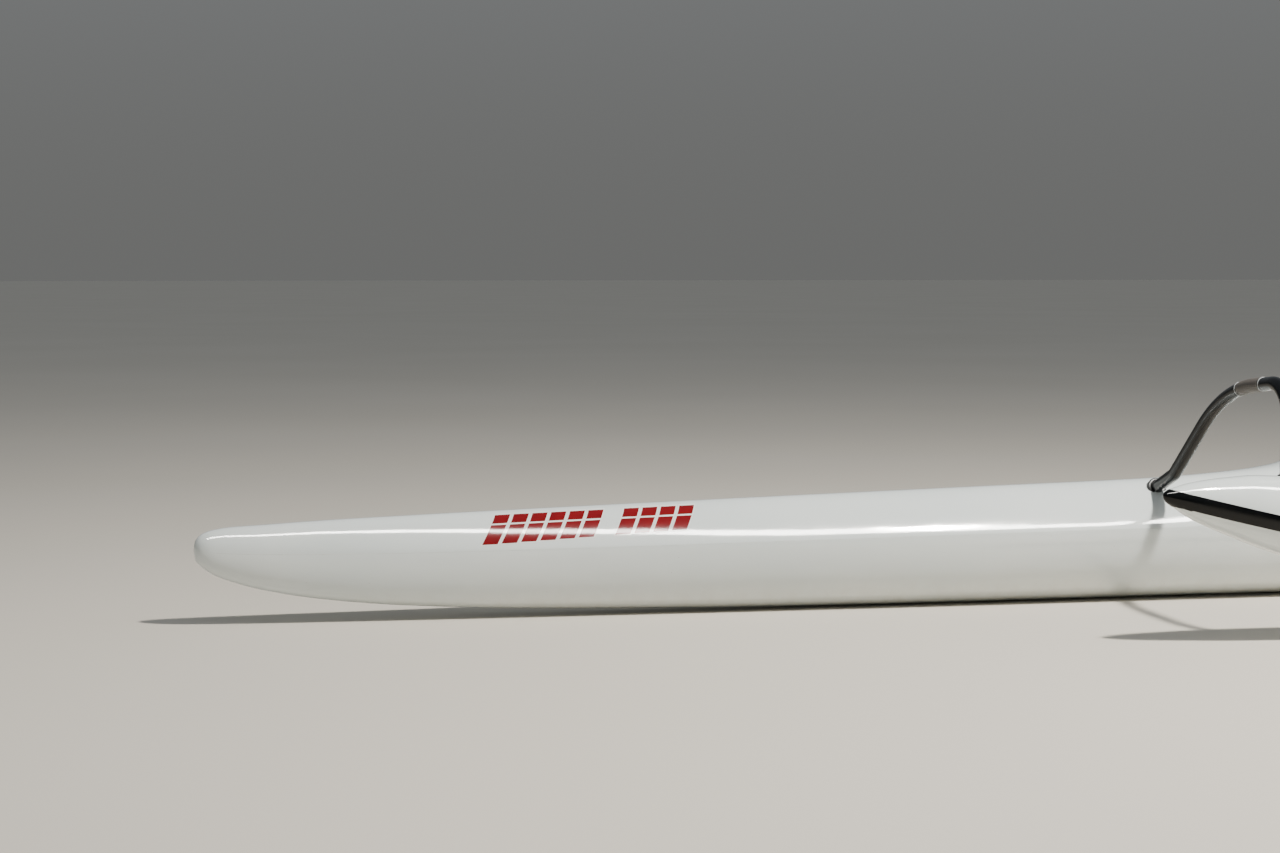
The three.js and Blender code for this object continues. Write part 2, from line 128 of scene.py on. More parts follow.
@contextmanager
def editing(obj: Piece, kind: str = "FACE", pick: str = "DESELECT") -> Iterator[None]:
    """Opens obj in edit mode, and goes back to object mode after.

    Args:
        obj: the object to edit.
        kind: VERT, EDGE or FACE selection.
        pick: SELECT to start with all of it selected, DESELECT for none.

    Yields:
        Once, with obj in edit mode.
    """
    only(obj)
    bpy.ops.object.mode_set(mode="EDIT")
    bpy.ops.mesh.select_mode(type=kind)
    bpy.ops.mesh.select_all(action=pick)
    try:
        yield
    finally:
        bpy.ops.object.mode_set(mode="OBJECT")


def pick_faces(obj: Piece, test: Callable[[Vector, Vector], bool]) -> None:
    """Selects the faces of an object in edit mode by their place and normal.

    Args:
        obj: the object in edit mode.
        test: takes a face's middle and normal, and says whether it is picked.
    """
    cage = bmesh.from_edit_mesh(obj.data)
    for face in cage.faces:
        face.select_set(bool(test(face.calc_center_median(), face.normal)))
    cage.select_flush_mode()
    bmesh.update_edit_mesh(obj.data)


def coordinates(obj: Piece) -> Array:
    """The vertices of a mesh, one row for each."""
    return np.array([vertex.co[:] for vertex in obj.data.vertices])


def put(obj: Piece, points: Array) -> None:
    """Moves the vertices of a mesh to the given places."""
    obj.data.vertices.foreach_set("co", np.ascontiguousarray(points, dtype=float).ravel())
    obj.data.update()


def close_up(obj: Piece, fill: bool = False) -> None:
    """Merges doubles, fills open ends where asked and points the faces outwards.

    Args:
        obj: the mesh to close.
        fill: whether open ends are filled.
    """
    with editing(obj, "VERT", "SELECT"):
        bpy.ops.mesh.remove_doubles(threshold=2e-6)
        if fill:
            bpy.ops.mesh.select_all(action="SELECT")
            bpy.ops.mesh.fill_holes(sides=0)
        bpy.ops.mesh.select_all(action="SELECT")
        bpy.ops.mesh.normals_make_consistent(inside=False)


def modified(obj: Piece, kind: str, **settings: object) -> None:
    """Adds a modifier and applies it.

    Args:
        obj: the mesh.
        kind: the modifier's type.
        settings: its properties.
    """
    only(obj)
    modifier = obj.modifiers.new(kind.title(), kind)
    for key, value in settings.items():
        setattr(modifier, key, value)
    bpy.ops.object.modifier_apply(modifier=modifier.name)


def cut(obj: Piece, cutter: Piece) -> None:
    """Cuts a solid out of obj and deletes the solid."""
    modified(obj, "BOOLEAN", object=cutter, operation="DIFFERENCE", solver="EXACT", material_mode="TRANSFER")
    bpy.data.objects.remove(cutter)


def joined(name: str, parts: Sequence[Piece]) -> Piece:
    """Joins pieces into one.

    Args:
        name: the new piece's name.
        parts: the pieces, which end up in the first.

    Returns:
        The new piece.
    """
    only(parts[0])
    for part in parts:
        part.select_set(True)
    bpy.ops.object.join()
    return named(name)


def settle(obj: Piece, place: Matrix) -> None:
    """Puts a piece at its place and keeps that place in its mesh.

    Args:
        obj: the piece, at the origin, unturned and unscaled afterwards.
        place: where it goes.
    """
    obj.matrix_world = place
    only(obj)
    bpy.ops.object.transform_apply(location=True, rotation=True, scale=True)


def along(axis: Vector, at: Vector) -> Matrix:
    """The place of a turned piece whose own +Z goes along an axis, with its foot at a point."""
    return Matrix.Translation(at) @ axis.to_track_quat("Z", "Y").to_matrix().to_4x4()


def on_hull(s: float | Array, across: float | Array, z: float | Array) -> Array:
    """Places in metres from millimetres aft of the bow, to port of the hull's middle and up."""
    return np.stack(np.broadcast_arrays(BOW_X - s * MM, HULL_Y + across * MM, z * MM), axis=-1)


def turns(x: Array, y: Array) -> Array:
    """Turns from +X to the given places, 0 to 1."""
    return (np.arctan2(y, x) / (2 * np.pi)) % 1.0


def run_along(points: Array) -> Array:
    """Lengths along a line through points in a plane, from the first to each."""
    return np.concatenate([[0.0], np.cumsum(np.hypot(*np.diff(points, axis=0).T))])


def sheet(name: str, steps: int, sides: int, place: Place, rolled: bool = True) -> Piece:
    """A grid sheet, rolled into a closed tube-like body unless told otherwise.

    Args:
        name: the piece's name.
        steps: faces along, where its UV map's u runs.
        sides: faces around or across, where v runs.
        place: gives the places for arrays of u and v, both 0 to 1.
        rolled: whether its edges meet and its ends are filled.

    Returns:
        The body or sheet.
    """
    obj = started(name, bpy.ops.mesh.primitive_grid_add, x_subdivisions=steps, y_subdivisions=sides, size=2.0,
                  calc_uvs=True)
    put(obj, place(*((coordinates(obj)[:, :2] + 1) / 2).T))
    if rolled:
        close_up(obj, fill=True)
    return obj


def swept_ring(name: str, profile: Array, place: Place, steps: int) -> Piece:
    """A torus drawn to a closed profile that follows a closed path.

    Args:
        name: the piece's name.
        profile: closed profile, one row for each side of the torus.
        place: gives the places for turns and their profile rows.
        steps: sections along the path.

    Returns:
        The ring.
    """
    obj = started(name, bpy.ops.mesh.primitive_torus_add, major_radius=1.0, minor_radius=0.25,
                  major_segments=steps, minor_segments=len(profile))
    x, y, z = coordinates(obj).T
    row = np.rint(turns(np.hypot(x, y) - 1.0, z) * len(profile)).astype(int) % len(profile)
    put(obj, place(turns(x, y), profile[row]))
    close_up(obj)
    return obj


def turned(name: str, profile: Outline, sides: int) -> Piece:
    """A piece spun from a profile of (radius, height) in millimetres round its own +Z.

    Args:
        name: the piece's name.
        profile: the profile, from the axis or closed on itself.
        sides: steps of the spin.

    Returns:
        The closed piece, upright at the origin.
    """
    obj = started(name, bpy.ops.mesh.primitive_plane_add, size=MM)
    points = [Vector((r * MM, 0.0, h * MM)) for r, h in profile]
    with editing(obj, "VERT", "SELECT"):
        bpy.ops.mesh.merge(type="CENTER")
        bpy.ops.transform.translate(value=points[0])
        for before, after in zip(points, points[1:]):
            bpy.ops.mesh.extrude_region_move(TRANSFORM_OT_translate={"value": after - before})
        bpy.ops.mesh.select_all(action="SELECT")
        bpy.ops.mesh.spin(steps=sides, angle=2 * math.pi, center=(0, 0, 0), axis=(0, 0, 1))
    close_up(obj)
    return obj


def block(name: str, size: Triple, at: Triple, bevel: float, segments: int = 3) -> Piece:
    """A block with rounded edges, from a cube shaped in edit mode, all in millimetres.

    Args:
        name: the piece's name.
        size: its three sides.
        at: its middle.
        bevel: radius of its edges.
        segments: faces round an edge.

    Returns:
        The block.
    """
    obj = started(name, bpy.ops.mesh.primitive_cube_add, size=1.0)
    put(obj, (coordinates(obj) * size + at) * MM)
    with editing(obj, "EDGE", "SELECT"):
        bpy.ops.mesh.bevel(offset=bevel * MM, segments=segments, affect="EDGES")
    return obj


# Lines of the two bodies


def smooth_through(marks: Array, rows: Array, at: Array) -> Array:
    """Values between table rows by a monotone cubic, with no overshoot.

    Args:
        marks: where the rows stand, rising.
        rows: one row of values for each mark.
        at: where values are wanted.

    Returns:
        One row of values for each place in at.
    """
    spans = np.diff(marks)
    slopes = np.diff(rows, axis=0) / spans[:, None]
    product = slopes[:-1] * slopes[1:]
    total = np.where(product > 0, slopes[:-1] + slopes[1:], 1.0)
    tangents = np.vstack([slopes[:1], np.where(product > 0, 2 * product / total, 0.0), slopes[-1:]])
    i = np.clip(np.searchsorted(marks, at) - 1, 0, len(marks) - 2)
    t = ((at - marks[i]) / spans[i])[:, None]
    m, n = tangents[i] * spans[i][:, None], tangents[i + 1] * spans[i][:, None]
    p, q = rows[i], rows[i + 1]
    return p + t * m + t**2 * (3 * (q - p) - 2 * m - n) + t**3 * (2 * (p - q) + m + n)


@dataclass(frozen=True)
class Lines:
    """Lines of a long rounded body, in millimetres aft of its nose and above the floor.

    Rows hold s, keel, seam, deck, half, bottom, crown and shoulder: heights, half the beam, and
    the powers of the rounded section below the seam, across the crown and up the shoulder.
    """

    rows: tuple[tuple[float, ...], ...]
    length: float
    nose_x: float
    centre_y: float
    below: int = 22
    above: int = 26
    strip: float = 0.8
    strip_steps: int = 1
    soft: float = 4.0

    def angles(self, s: Array) -> Array:
        """Half turns along the body, so that both ends come out round."""
        return np.arccos(np.clip(1 - 2 * np.asarray(s, dtype=float) / self.length, -1.0, 1.0))

    def columns(self, s: Array) -> Array:
        """Keel, seam, deck, half, bottom, crown and shoulder at distances aft."""
        table = np.array(self.rows)
        return smooth_through(self.angles(table[:, 0]), table[:, 1:], self.angles(s))

    def knots(self, reach: float, count: int) -> Array:
        """Where a section has its corners, on one side of the seam.

        Args:
            reach: length from the seam to the keel or to the deck's middle.
            count: how many corners after the first.

        Returns:
            Distances from the seam.
        """
        strip = min(self.strip, 0.97 * reach)
        near = np.linspace(0.0, strip, self.strip_steps + 1)
        return np.concatenate([near, np.linspace(strip, reach, count - self.strip_steps + 1)[1:]])

    def ring(self, row: Array, inset: float, fine: int = 1024, quarter: int = 180) -> Array:
        """One section, from the port seam over the deck and round by the keel.

        Args:
            row: the section's columns.
            inset: how far inside the surface it lies.
            fine: even steps in which its corners are softened.
            quarter: steps from the seam to the deck's middle.

        Returns:
            Across and height, one row for each corner.
        """
        keel, seam, deck, half, bottom, crown, shoulder = row
        angle = np.linspace(0.0, np.pi / 2, quarter + 1)
        cos, sin = np.cos(angle), np.sin(angle)
        cos[-1] = 0.0
        wide, rise, drop = (max(v - inset, 0.01) for v in (half, deck - seam, seam - keel))
        up = wide * cos ** (2 / crown) + 1j * rise * sin ** (2 / shoulder)
        down = wide * cos ** (2 / bottom) - 1j * drop * sin ** (2 / bottom)
        loop = np.concatenate([up, -up.conj()[::-1][1:], -down.conj()[1:], down[::-1][1:]])
        run = np.concatenate([[0.0], np.cumsum(np.abs(np.diff(loop)))])
        reach_up, reach_down = run[quarter], run[-1] / 2 - run[quarter]
        even = np.linspace(0.0, run[-1], fine, endpoint=False)
        drawn = np.interp(even, run, loop.real) + 1j * np.interp(even, run, loop.imag)
        waves = np.fft.fftfreq(fine, 1 / fine)
        soft = min(self.soft, 0.02 * run[-1])
        drawn = np.fft.ifft(np.fft.fft(drawn) * np.exp(-((2 * np.pi * waves * soft / run[-1]) ** 2) / 2))
        up_at, down_at = self.knots(reach_up, self.above), self.knots(reach_down, self.below)
        half_turn = np.concatenate([up_at, 2 * reach_up - up_at[::-1][1:]])
        other = 2 * reach_up + np.concatenate([down_at, 2 * reach_down - down_at[::-1][1:]])
        at = np.concatenate([half_turn, other[1:-1]])
        across, height = (np.interp(at, even, v, period=run[-1]) for v in (drawn.real, drawn.imag))
        return np.stack([across, seam + height], axis=1)

    def rings(self, s: Array, inset: float = 0.0) -> Array:
        """Sections at distances aft.

        Args:
            s: the distances.
            inset: how far inside the surface the sections lie.

        Returns:
            Places in metres: station, corner, xyz.
        """
        flat = np.array([self.ring(row, inset) for row in self.columns(s)])
        x = np.broadcast_to((self.nose_x - s * MM)[:, None], flat.shape[:2])
        return np.stack([x, self.centre_y + flat[..., 0] * MM, flat[..., 1] * MM], axis=2)

    def top(self, s: float | Array, across: float | Array) -> Array:
        """Height of the upper surface, in millimetres.

        Args:
            s: distances aft.
            across: distances from the middle.

        Returns:
            The heights there.
        """
        s, across = np.broadcast_arrays(np.asarray(s, dtype=float), np.asarray(across, dtype=float))
        _, seam, deck, half, _, crown, shoulder = self.columns(s.ravel()).T
        share = np.clip(np.abs(across.ravel() / half), 0.0, 1.0)
        return (seam + (deck - seam) * (1 - share**crown) ** (1 / shoulder)).reshape(s.shape)

    def inner_half(self, s: Array, z: Array, inset: float) -> Array:
        """Half the width inside the shell, in millimetres.

        Args:
            s: distances aft.
            z: heights.
            inset: thickness of the shell.

        Returns:
            The half widths there.
        """
        keel, seam, deck, half, bottom, crown, shoulder = self.columns(s).T
        low = np.clip((seam - z) / (seam - keel - inset), 0.0, 1.0)
        high = np.clip((z - seam) / (deck - seam - inset), 0.0, 1.0)
        lower, upper = (1 - low**bottom) ** (1 / bottom), (1 - high**shoulder) ** (1 / crown)
        return (half - inset) * np.where(z < seam, lower, upper)

    def body(self, name: str, rings: int) -> Piece:
        """A sphere drawn to the lines, its poles at the two ends.

        Args:
            name: the piece's name.
            rings: sections from end to end.

        Returns:
            The closed body.
        """
        corners = 2 * (self.above + self.below)
        obj = started(name, bpy.ops.mesh.primitive_uv_sphere_add, segments=corners, ring_count=rings,
                      radius=1.0)
        x, y, z = coordinates(obj).T
        station = np.rint(np.arctan2(np.hypot(x, y), z) / np.pi * rings).astype(int)
        s = self.length / 2 * (1 - np.cos(np.pi * np.arange(rings + 1) / rings))
        drawn = np.empty((rings + 1, corners, 3))
        drawn[1:-1] = self.rings(s[1:-1])
        for end in (0, rings):
            drawn[end] = (self.nose_x - s[end] * MM, self.centre_y, self.columns(s[end:end + 1])[0, 1] * MM)
        put(obj, drawn[station, np.rint(turns(x, y) * corners).astype(int) % corners])
        close_up(obj)
        return obj

    def section_body(self, name: str, start: float, end: float, inset: float, steps: int) -> Piece:
        """A closed length of the body between two stations.

        Args:
            name: the piece's name.
            start: where it starts.
            end: where it ends.
            inset: how far inside the surface it lies.
            steps: faces from one to the other.

        Returns:
            The closed length.
        """
        drawn = self.rings(np.linspace(start, end, steps + 1), inset)
        drawn = np.concatenate([drawn, drawn[:, :1]], axis=1)
        sides = drawn.shape[1] - 1

        def place(u: Array, v: Array) -> Array:
            """Picks the drawn corner for each u and v."""
            return drawn[np.rint(u * steps).astype(int), np.rint(v * sides).astype(int)]

        return sheet(name, steps, sides, place)


HULL_LINES = Lines(
    rows=(
        # s, keel, seam, deck, half, bottom, crown, shoulder
        (0, 211, 211, 211, 0, 2.0, 2.0, 2.0),
        (6, 177, 208, 238, 15, 2.0, 2.0, 2.0),
        (20, 162, 207, 252, 27, 2.0, 2.0, 2.0),
        (45, 143, 205, 262, 37, 2.0, 2.0, 2.0),
        (95, 121, 202, 270, 46, 2.0, 2.0, 2.0),
        (190, 93, 199, 275, 56, 2.0, 2.0, 1.95),
        (320, 68, 196, 282, 63, 2.0, 1.98, 1.8),
        (560, 41, 195, 291, 77, 2.0, 1.92, 1.45),
        (1000, 18, 199, 305, 104, 2.0, 1.82, 1.2),
        (1720, 3, 209, 325, 140, 2.1, 1.75, 1.1),
        (2300, 0, 217, 340, 162, 2.2, 1.75, 1.1),
        (2800, 0, 223, 353, 175, 2.2, 1.8, 1.12),
        (3050, 0, 227, 368, 181, 2.3, 2.0, 1.3),
        (3225, 0, 232, 388, 184, 2.3, 2.4, 1.9),
        (3360, 0, 238, 430, 186, 2.3, 3.0, 2.9),
        (3500, 0, 243, 470, 187, 2.3, 3.6, 3.6),
        (3640, 0, 245, 484, 187, 2.3, 4.0, 4.0),
        (3900, 0, 245, 482, 187, 2.3, 4.2, 4.2),
        (4200, 0, 243, 466, 185, 2.3, 4.0, 4.0),
        (4450, 0, 238, 434, 181, 2.3, 3.3, 3.2),
        (4650, 0, 230, 390, 174, 2.3, 2.5, 2.1),
        (4850, 0, 224, 360, 166, 2.2, 2.0, 1.4),
        (5300, 6, 218, 334, 148, 2.1, 1.8, 1.15),
        (6000, 32, 212, 307, 112, 2.0, 1.82, 1.2),
        (6600, 70, 210, 288, 77, 2.0, 1.92, 1.45),
        (7000, 108, 209, 273, 51, 2.0, 2.0, 1.8),
        (7240, 142, 209, 259, 34, 2.0, 2.0, 2.0),
        (7350, 168, 209, 245, 22, 2.0, 2.0, 2.0),
        (7390, 186, 208, 230, 11, 2.0, 2.0, 2.0),
        (7400, 208, 208, 208, 0, 2.0, 2.0, 2.0),
    ),
    length=7400.0,
    nose_x=BOW_X,
    centre_y=HULL_Y,
)


@dataclass(frozen=True)
class FloatLines(Lines):
    """Lines of the float. Rows hold s, up, down and half: depths above and below the seam."""

    rise: float = 323.0
    low_at: float = 2500.0
    roundness: float = 2.1

    def columns(self, s: Array) -> Array:
        """The same columns as a hull's, with the keel's lowest place on the floor.

        Args:
            s: distances aft.

        Returns:
            Keel, seam, deck, half and the three powers there.
        """
        table = np.array(self.rows)
        marks = self.angles(table[:, 0])
        every = np.linspace(0.0, self.length, 401)
        over_low, rises = (self.rise * (1 - at / self.low_at) ** 2 for at in (every, s))
        low = np.max(smooth_through(marks, table[:, 1:], self.angles(every))[:, 1] - over_low)
        up, down, half = smooth_through(marks, table[:, 1:], self.angles(s)).T
        seam = low + rises
        power = np.full_like(seam, self.roundness)
        return np.stack([seam - down, seam, seam + up, half, power, power, power], axis=1)


FLOAT_LINES = FloatLines(
    rows=(
        # s, up, down, half
        (0, 0, 0, 0),
        (6, 13, 13, 11),
        (25, 26, 22, 26),
        (90, 58, 46, 49),
        (180, 90, 62, 67),
        (275, 116, 77, 81),
        (420, 134, 89, 90),
        (800, 134, 86, 97),
        (1500, 121, 76, 100),
        (2100, 112, 70, 100),
        (2500, 106, 65, 97),
        (3000, 95, 60, 88),
        (3400, 78, 53, 73),
        (3700, 57, 42, 54),
        (3880, 36, 28, 34),
        (3960, 20, 16, 19),
        (3990, 9, 8, 9),
        (4000, 0, 0, 0),
    ),
    length=4000.0,
    nose_x=FLOAT_NOSE_X,
    centre_y=FLOAT_Y,
    below=20,
    above=24,
    strip=21.0,
    strip_steps=4,
)


# Finishes


def linear(code: str) -> tuple[float, float, float, float]:
    """An sRGB hex colour as linear red, green, blue and full alpha."""
    parts = (int(code[i:i + 2], 16) / 255 for i in (0, 2, 4))
    return (*(c / 12.92 if c <= 0.04045 else ((c + 0.055) / 1.055) ** 2.4 for c in parts), 1.0)


def add_node(tree: bpy.types.NodeTree, kind: str, out: int | str = 0, **settings: object) -> Socket:
    """Adds a node with its settings and links.

    Args:
        tree: the material's tree.
        kind: the node's type, without its ShaderNode prefix.
        out: which output is wanted.
        settings: its properties and inputs. A socket is linked, and in_6 is input number 6.

    Returns:
        That output.
    """
    node = tree.nodes.new(f"ShaderNode{kind}")
    for key, value in settings.items():
        place = int(key[3:]) if key.startswith("in_") else key.replace("_", " ")
        if isinstance(place, str) and place not in node.inputs:
            setattr(node, key, value)
        elif isinstance(value, Socket):
            tree.links.new(value, node.inputs[place])
        else:
            node.inputs[place].default_value = value
    return node.outputs[out]


def per_metre(size_mm: float) -> float:
    """Texture scale at which one cell of a pattern spans a real size."""
    return 1.0 / (size_mm * MM)


def hull_waves(add: Adder, place: Socket) -> Socket:
    """The mould's fairness: waves of about 260 mm along the hull and 100 mm across."""
    along_hull = add("Mapping", Scale=(1.0, 2.6, 2.6), Vector=place)
    return add("TexNoise", Scale=per_metre(260.0), Detail=2.5, Roughness=0.45, Vector=along_hull)


def two_tones(add: Adder, share: Socket, colours: tuple[str, str], height: Socket, strength: float,
              depth: float) -> Inputs:
    """A change from one colour to another, and relief.

    Args:
        add: adds a node to the material.
        share: 0 for the first colour, 1 for the second.
        colours: the two as hex.
        height: what the relief follows.
        strength: of the relief.
        depth: of the relief, in millimetres.

    Returns:
        What feeds the shader's colour and normal.
    """
    first, second = map(linear, colours)
    return {"Base Color": add("Mix", 2, data_type="RGBA", in_0=share, in_6=first, in_7=second),
            "Normal": add("Bump", Strength=strength, Distance=depth * MM, Height=height)}


@dataclass(frozen=True)
class Finish:
    """A finish: what the surface is made of, and how it takes the light."""

    name: str
    colour: str
    roughness: float
    metallic: float = 0.0
    ior: float = 1.5
    coat: float = 0.0
    coat_roughness: float = 0.05

    def material(self) -> bpy.types.Material:
        """The finish as a material, made once.

        Returns:
            The material.
        """
        known = bpy.data.materials.get(self.name)
        if known is not None:
            return known
        material = bpy.data.materials.new(self.name)
        material.use_nodes = True
        material.diffuse_color = linear(self.colour)
        tree = material.node_tree
        inputs = tree.nodes["Principled BSDF"].inputs
        inputs["Base Color"].default_value = linear(self.colour)
        inputs["Roughness"].default_value = self.roughness
        inputs["Metallic"].default_value = self.metallic
        if not self.metallic:
            inputs["IOR"].default_value = self.ior
        inputs["Coat Weight"].default_value = self.coat
        inputs["Coat Roughness"].default_value = self.coat_roughness
        for name, socket in self.surface(partial(add_node, tree)).items():
            tree.links.new(socket, inputs[name])
        return material

    def surface(self, add: Adder) -> Inputs:
        """What feeds the shader's inputs, from nodes made with add; a plain finish has none."""
        return {}


@dataclass(frozen=True)
class Gelcoat(Finish):
    """Polished gelcoat over laminate: a hard wet gloss that is not quite flat, warmer and duller towards the
    floor.
    """

    light: str = "DEE4E3"
    low_tone: str = "B9B3A2"
    speck: str = "6E6A60"
    low_tone_height: float = 0.10

    def surface(self, add: Adder) -> Inputs:
        """Slow cool and warm tones, a warmer, duller tone near the floor, small specks and a long faint
        waviness.

        Args:
            add: adds a node.

        Returns:
            What feeds the shader's inputs.
        """
        place = add("TexCoord", "Object")
        slow = add("TexNoise", Scale=per_metre(420.0), Detail=3.0, Vector=place)
        slow = add("MapRange", From_Min=0.25, From_Max=0.8, Value=slow)
        base = add("Mix", 2, data_type="RGBA", in_0=slow, in_6=linear(self.colour), in_7=linear(self.light))
        # The warmer, duller tone near the floor comes in upright streaks, so this noise is stretched upwards
        upright = add("Mapping", Scale=(28.0, 28.0, 3.5), Vector=place)
        runs = add("TexNoise", Scale=1.0, Detail=6.0, Roughness=0.65, Vector=upright)
        height = add("SeparateXYZ", "Z", Vector=place)
        # Warmer, duller colour towards the floor, strongest at the floor and fading over the lowest 100 mm
        low = add("MapRange", From_Min=self.low_tone_height, From_Max=0.0, To_Min=0.05, To_Max=0.75, Value=height)
        share = add("Math", operation="MULTIPLY", use_clamp=True, in_0=low, in_1=runs)
        low_toned = add("Mix", 2, data_type="RGBA", in_0=share, in_6=base, in_7=linear(self.low_tone))
        # Specks of 1.5 mm, a few in each hand's breadth
        cells = add("TexVoronoi", Scale=per_metre(24.0), Vector=place)
        few = add("TexNoise", Scale=per_metre(90.0), Detail=2.0, Vector=place)
        near = add("Math", operation="LESS_THAN", in_0=cells, in_1=0.055)
        rare = add("MapRange", From_Min=0.60, From_Max=0.61, To_Max=0.45, Value=few)
        specks = add("Math", operation="MULTIPLY", in_0=near, in_1=rare)
        specked = add("Mix", 2, data_type="RGBA", in_0=specks, in_6=low_toned, in_7=linear(self.speck))
        gloss = add("MapRange", To_Min=self.roughness, To_Max=self.roughness + 0.14, Value=share)
        relief = add("Bump", Strength=1.0, Distance=1.6 * MM, Height=hull_waves(add, place))
        return {"Base Color": specked, "Roughness": gloss, "Normal": relief}


@dataclass(frozen=True)
class GlassLaminate(Finish):
    """Bare glass cloth in resin inside the well: grey, its weave showing through a thin gloss."""

    resin: str = "8B8F8C"
    weave_mm: float = 5.0    # real cloth is about 2 mm, drawn coarser so that it shows

    def surface(self, add: Adder) -> Inputs:
        """Crossed bands for warp and weft, over patches of thick and thin resin.

        Args:
            add: adds a node.

        Returns:
            What feeds the shader's inputs.
        """
        place = add("TexCoord", "Object")
        parts = add("SeparateXYZ", Vector=place).node.outputs
        # The cloth runs out from the keel and up the sides, so its second way is out plus up
        outward = add("Math", operation="ADD", in_0=parts["Y"], in_1=-HULL_Y)
        outward = add("Math", operation="ABSOLUTE", in_0=outward)
        around = add("Math", operation="ADD", in_0=outward, in_1=parts["Z"])
        laid = add("CombineXYZ", X=parts["X"], Y=around)
        warp, weft = (add("TexWave", "Fac", bands_direction=axis, Distortion=0.6, Detail=1.0,
                          Scale=per_metre(self.weave_mm) * math.tau / 20, Vector=laid) for axis in ("X", "Y"))
        weave = add("Math", operation="MULTIPLY", in_0=warp, in_1=weft)
        patches = add("TexNoise", Scale=per_metre(110.0), Detail=4.0, Vector=place)
        mixed = add("Math", operation="MULTIPLY_ADD", in_0=weave, in_1=0.35, in_2=patches)
        mixed = add("MapRange", From_Min=0.35, From_Max=0.85, Value=mixed)
        return two_tones(add, mixed, (self.resin, self.colour), weave, 0.6, 0.25)


@dataclass(frozen=True)
class GrainedFinish(Finish):
    """A surface with a fine even grain: moulded plastic, rubber, foam or powder paint."""

    grain_mm: float = 1.2
    grain_depth: float = 0.05
    worn: str = "808080"

    def surface(self, add: Adder) -> Inputs:
        """A fine relief with slow changes of tone and gloss where the surface is handled.

        Args:
            add: adds a node.

        Returns:
            What feeds the shader's inputs.
        """
        place = add("TexCoord", "Object")
        grain = add("TexNoise", Scale=per_metre(self.grain_mm), Detail=4.0, Vector=place)
        patches = add("TexNoise", Scale=per_metre(70.0), Detail=5.0, Vector=place)
        patches = add("MapRange", From_Min=0.33, From_Max=0.72, Value=patches)
        gloss = add("MapRange", To_Min=self.roughness - 0.06, To_Max=self.roughness + 0.08, Value=patches)
        tones = two_tones(add, patches, (self.colour, self.worn), grain, 0.5, self.grain_depth)
        return tones | {"Roughness": gloss}


@dataclass(frozen=True)
class ClothTape(Finish):
    """Cloth tape wound round the tube: brown-grey turns that overlap, with a coarse dull weave."""

    worn: str = "57504A"
    turns: float = 14.0

    def surface(self, add: Adder) -> Inputs:
        """Slanted turns along the tube from the UV map, with thread noise.

        Args:
            add: adds a node.

        Returns:
            What feeds the shader's inputs.
        """
        uv = add("TexCoord", "UV")
        slant = add("Mapping", Scale=(self.turns, 1.0, 1.0), Vector=uv)
        parts = add("SeparateXYZ", Vector=slant).node.outputs
        wound = add("Math", operation="ADD", in_0=parts["X"], in_1=parts["Y"])
        edge = add("Math", operation="FRACT", in_0=wound)
        threads = add("Mapping", Scale=(90.0, 110.0, 1.0), Vector=uv)
        noise = add("TexNoise", Scale=1.0, Detail=5.0, Vector=threads)
        height = add("Math", operation="MULTIPLY_ADD", in_0=edge, in_1=0.45, in_2=noise)
        share = add("MapRange", From_Min=0.3, From_Max=1.1, Value=height)
        return two_tones(add, share, (self.colour, self.worn), height, 0.8, 0.5)


@dataclass(frozen=True)
class BrushedMetal(Finish):
    """Anodised metal with fine lines drawn along it."""

    light: str = "D8DADC"
    line_mm: float = 1.0
    drawn_out: float = 12.0

    def surface(self, add: Adder) -> Inputs:
        """Stretched noise that changes the gloss and leaves hair-fine relief.

        Args:
            add: adds a node.

        Returns:
            What feeds the shader's inputs.
        """
        drawn = add("Mapping", Scale=(1 / self.drawn_out, 1.0, 1.0), Vector=add("TexCoord", "Object"))
        lines = add("TexNoise", Scale=per_metre(self.line_mm), Detail=4.0, Vector=drawn)
        share = add("MapRange", From_Min=0.3, From_Max=0.8, Value=lines)
        gloss = add("MapRange", To_Min=self.roughness - 0.05, To_Max=self.roughness + 0.12, Value=share)
        return two_tones(add, share, (self.colour, self.light), lines, 0.4, 0.02) | {"Roughness": gloss}


@dataclass(frozen=True)
class VinylBand(Finish):
    """Glossy black vinyl tape: deep and wet, with dull pale scuffs from sand and handling."""

    scuff: str = "4A4A48"

    def surface(self, add: Adder) -> Inputs:
        """Sparse long scratches and rubbed patches that dull the gloss.

        Args:
            add: adds a node.

        Returns:
            What feeds the shader's inputs.
        """
        place = add("TexCoord", "Object")
        stretched = add("Mapping", Scale=(14.0, 60.0, 220.0), Vector=place)
        marks = add("TexNoise", Scale=1.0, Detail=8.0, Roughness=0.75, Vector=stretched)
        marks = add("MapRange", From_Min=0.66, From_Max=0.74, To_Max=0.6, Value=marks)
        rubbed = add("TexNoise", Scale=per_metre(160.0), Detail=6.0, Vector=place)
        gloss = add("MapRange", From_Min=0.35, From_Max=0.7, To_Min=self.roughness,
                    To_Max=self.roughness + 0.22, Value=rubbed)
        return two_tones(add, marks, (self.colour, self.scuff), rubbed, 0.5, 0.3) | {"Roughness": gloss}


@dataclass(frozen=True)
class Film(Finish):
    """Cut adhesive film with a print lacquer: even colour, as glossy as the gelcoat under it."""

    deep: str = "808080"

    def surface(self, add: Adder) -> Inputs:
        """A slight unevenness of the print, and the long waves of the hull under it.

        Args:
            add: adds a node.

        Returns:
            What feeds the shader's inputs.
        """
        place = add("TexCoord", "Object")
        ink = add("TexNoise", Scale=per_metre(35.0), Detail=4.0, Vector=place)
        return two_tones(add, ink, (self.deep, self.colour), hull_waves(add, place), 1.0, 1.6)


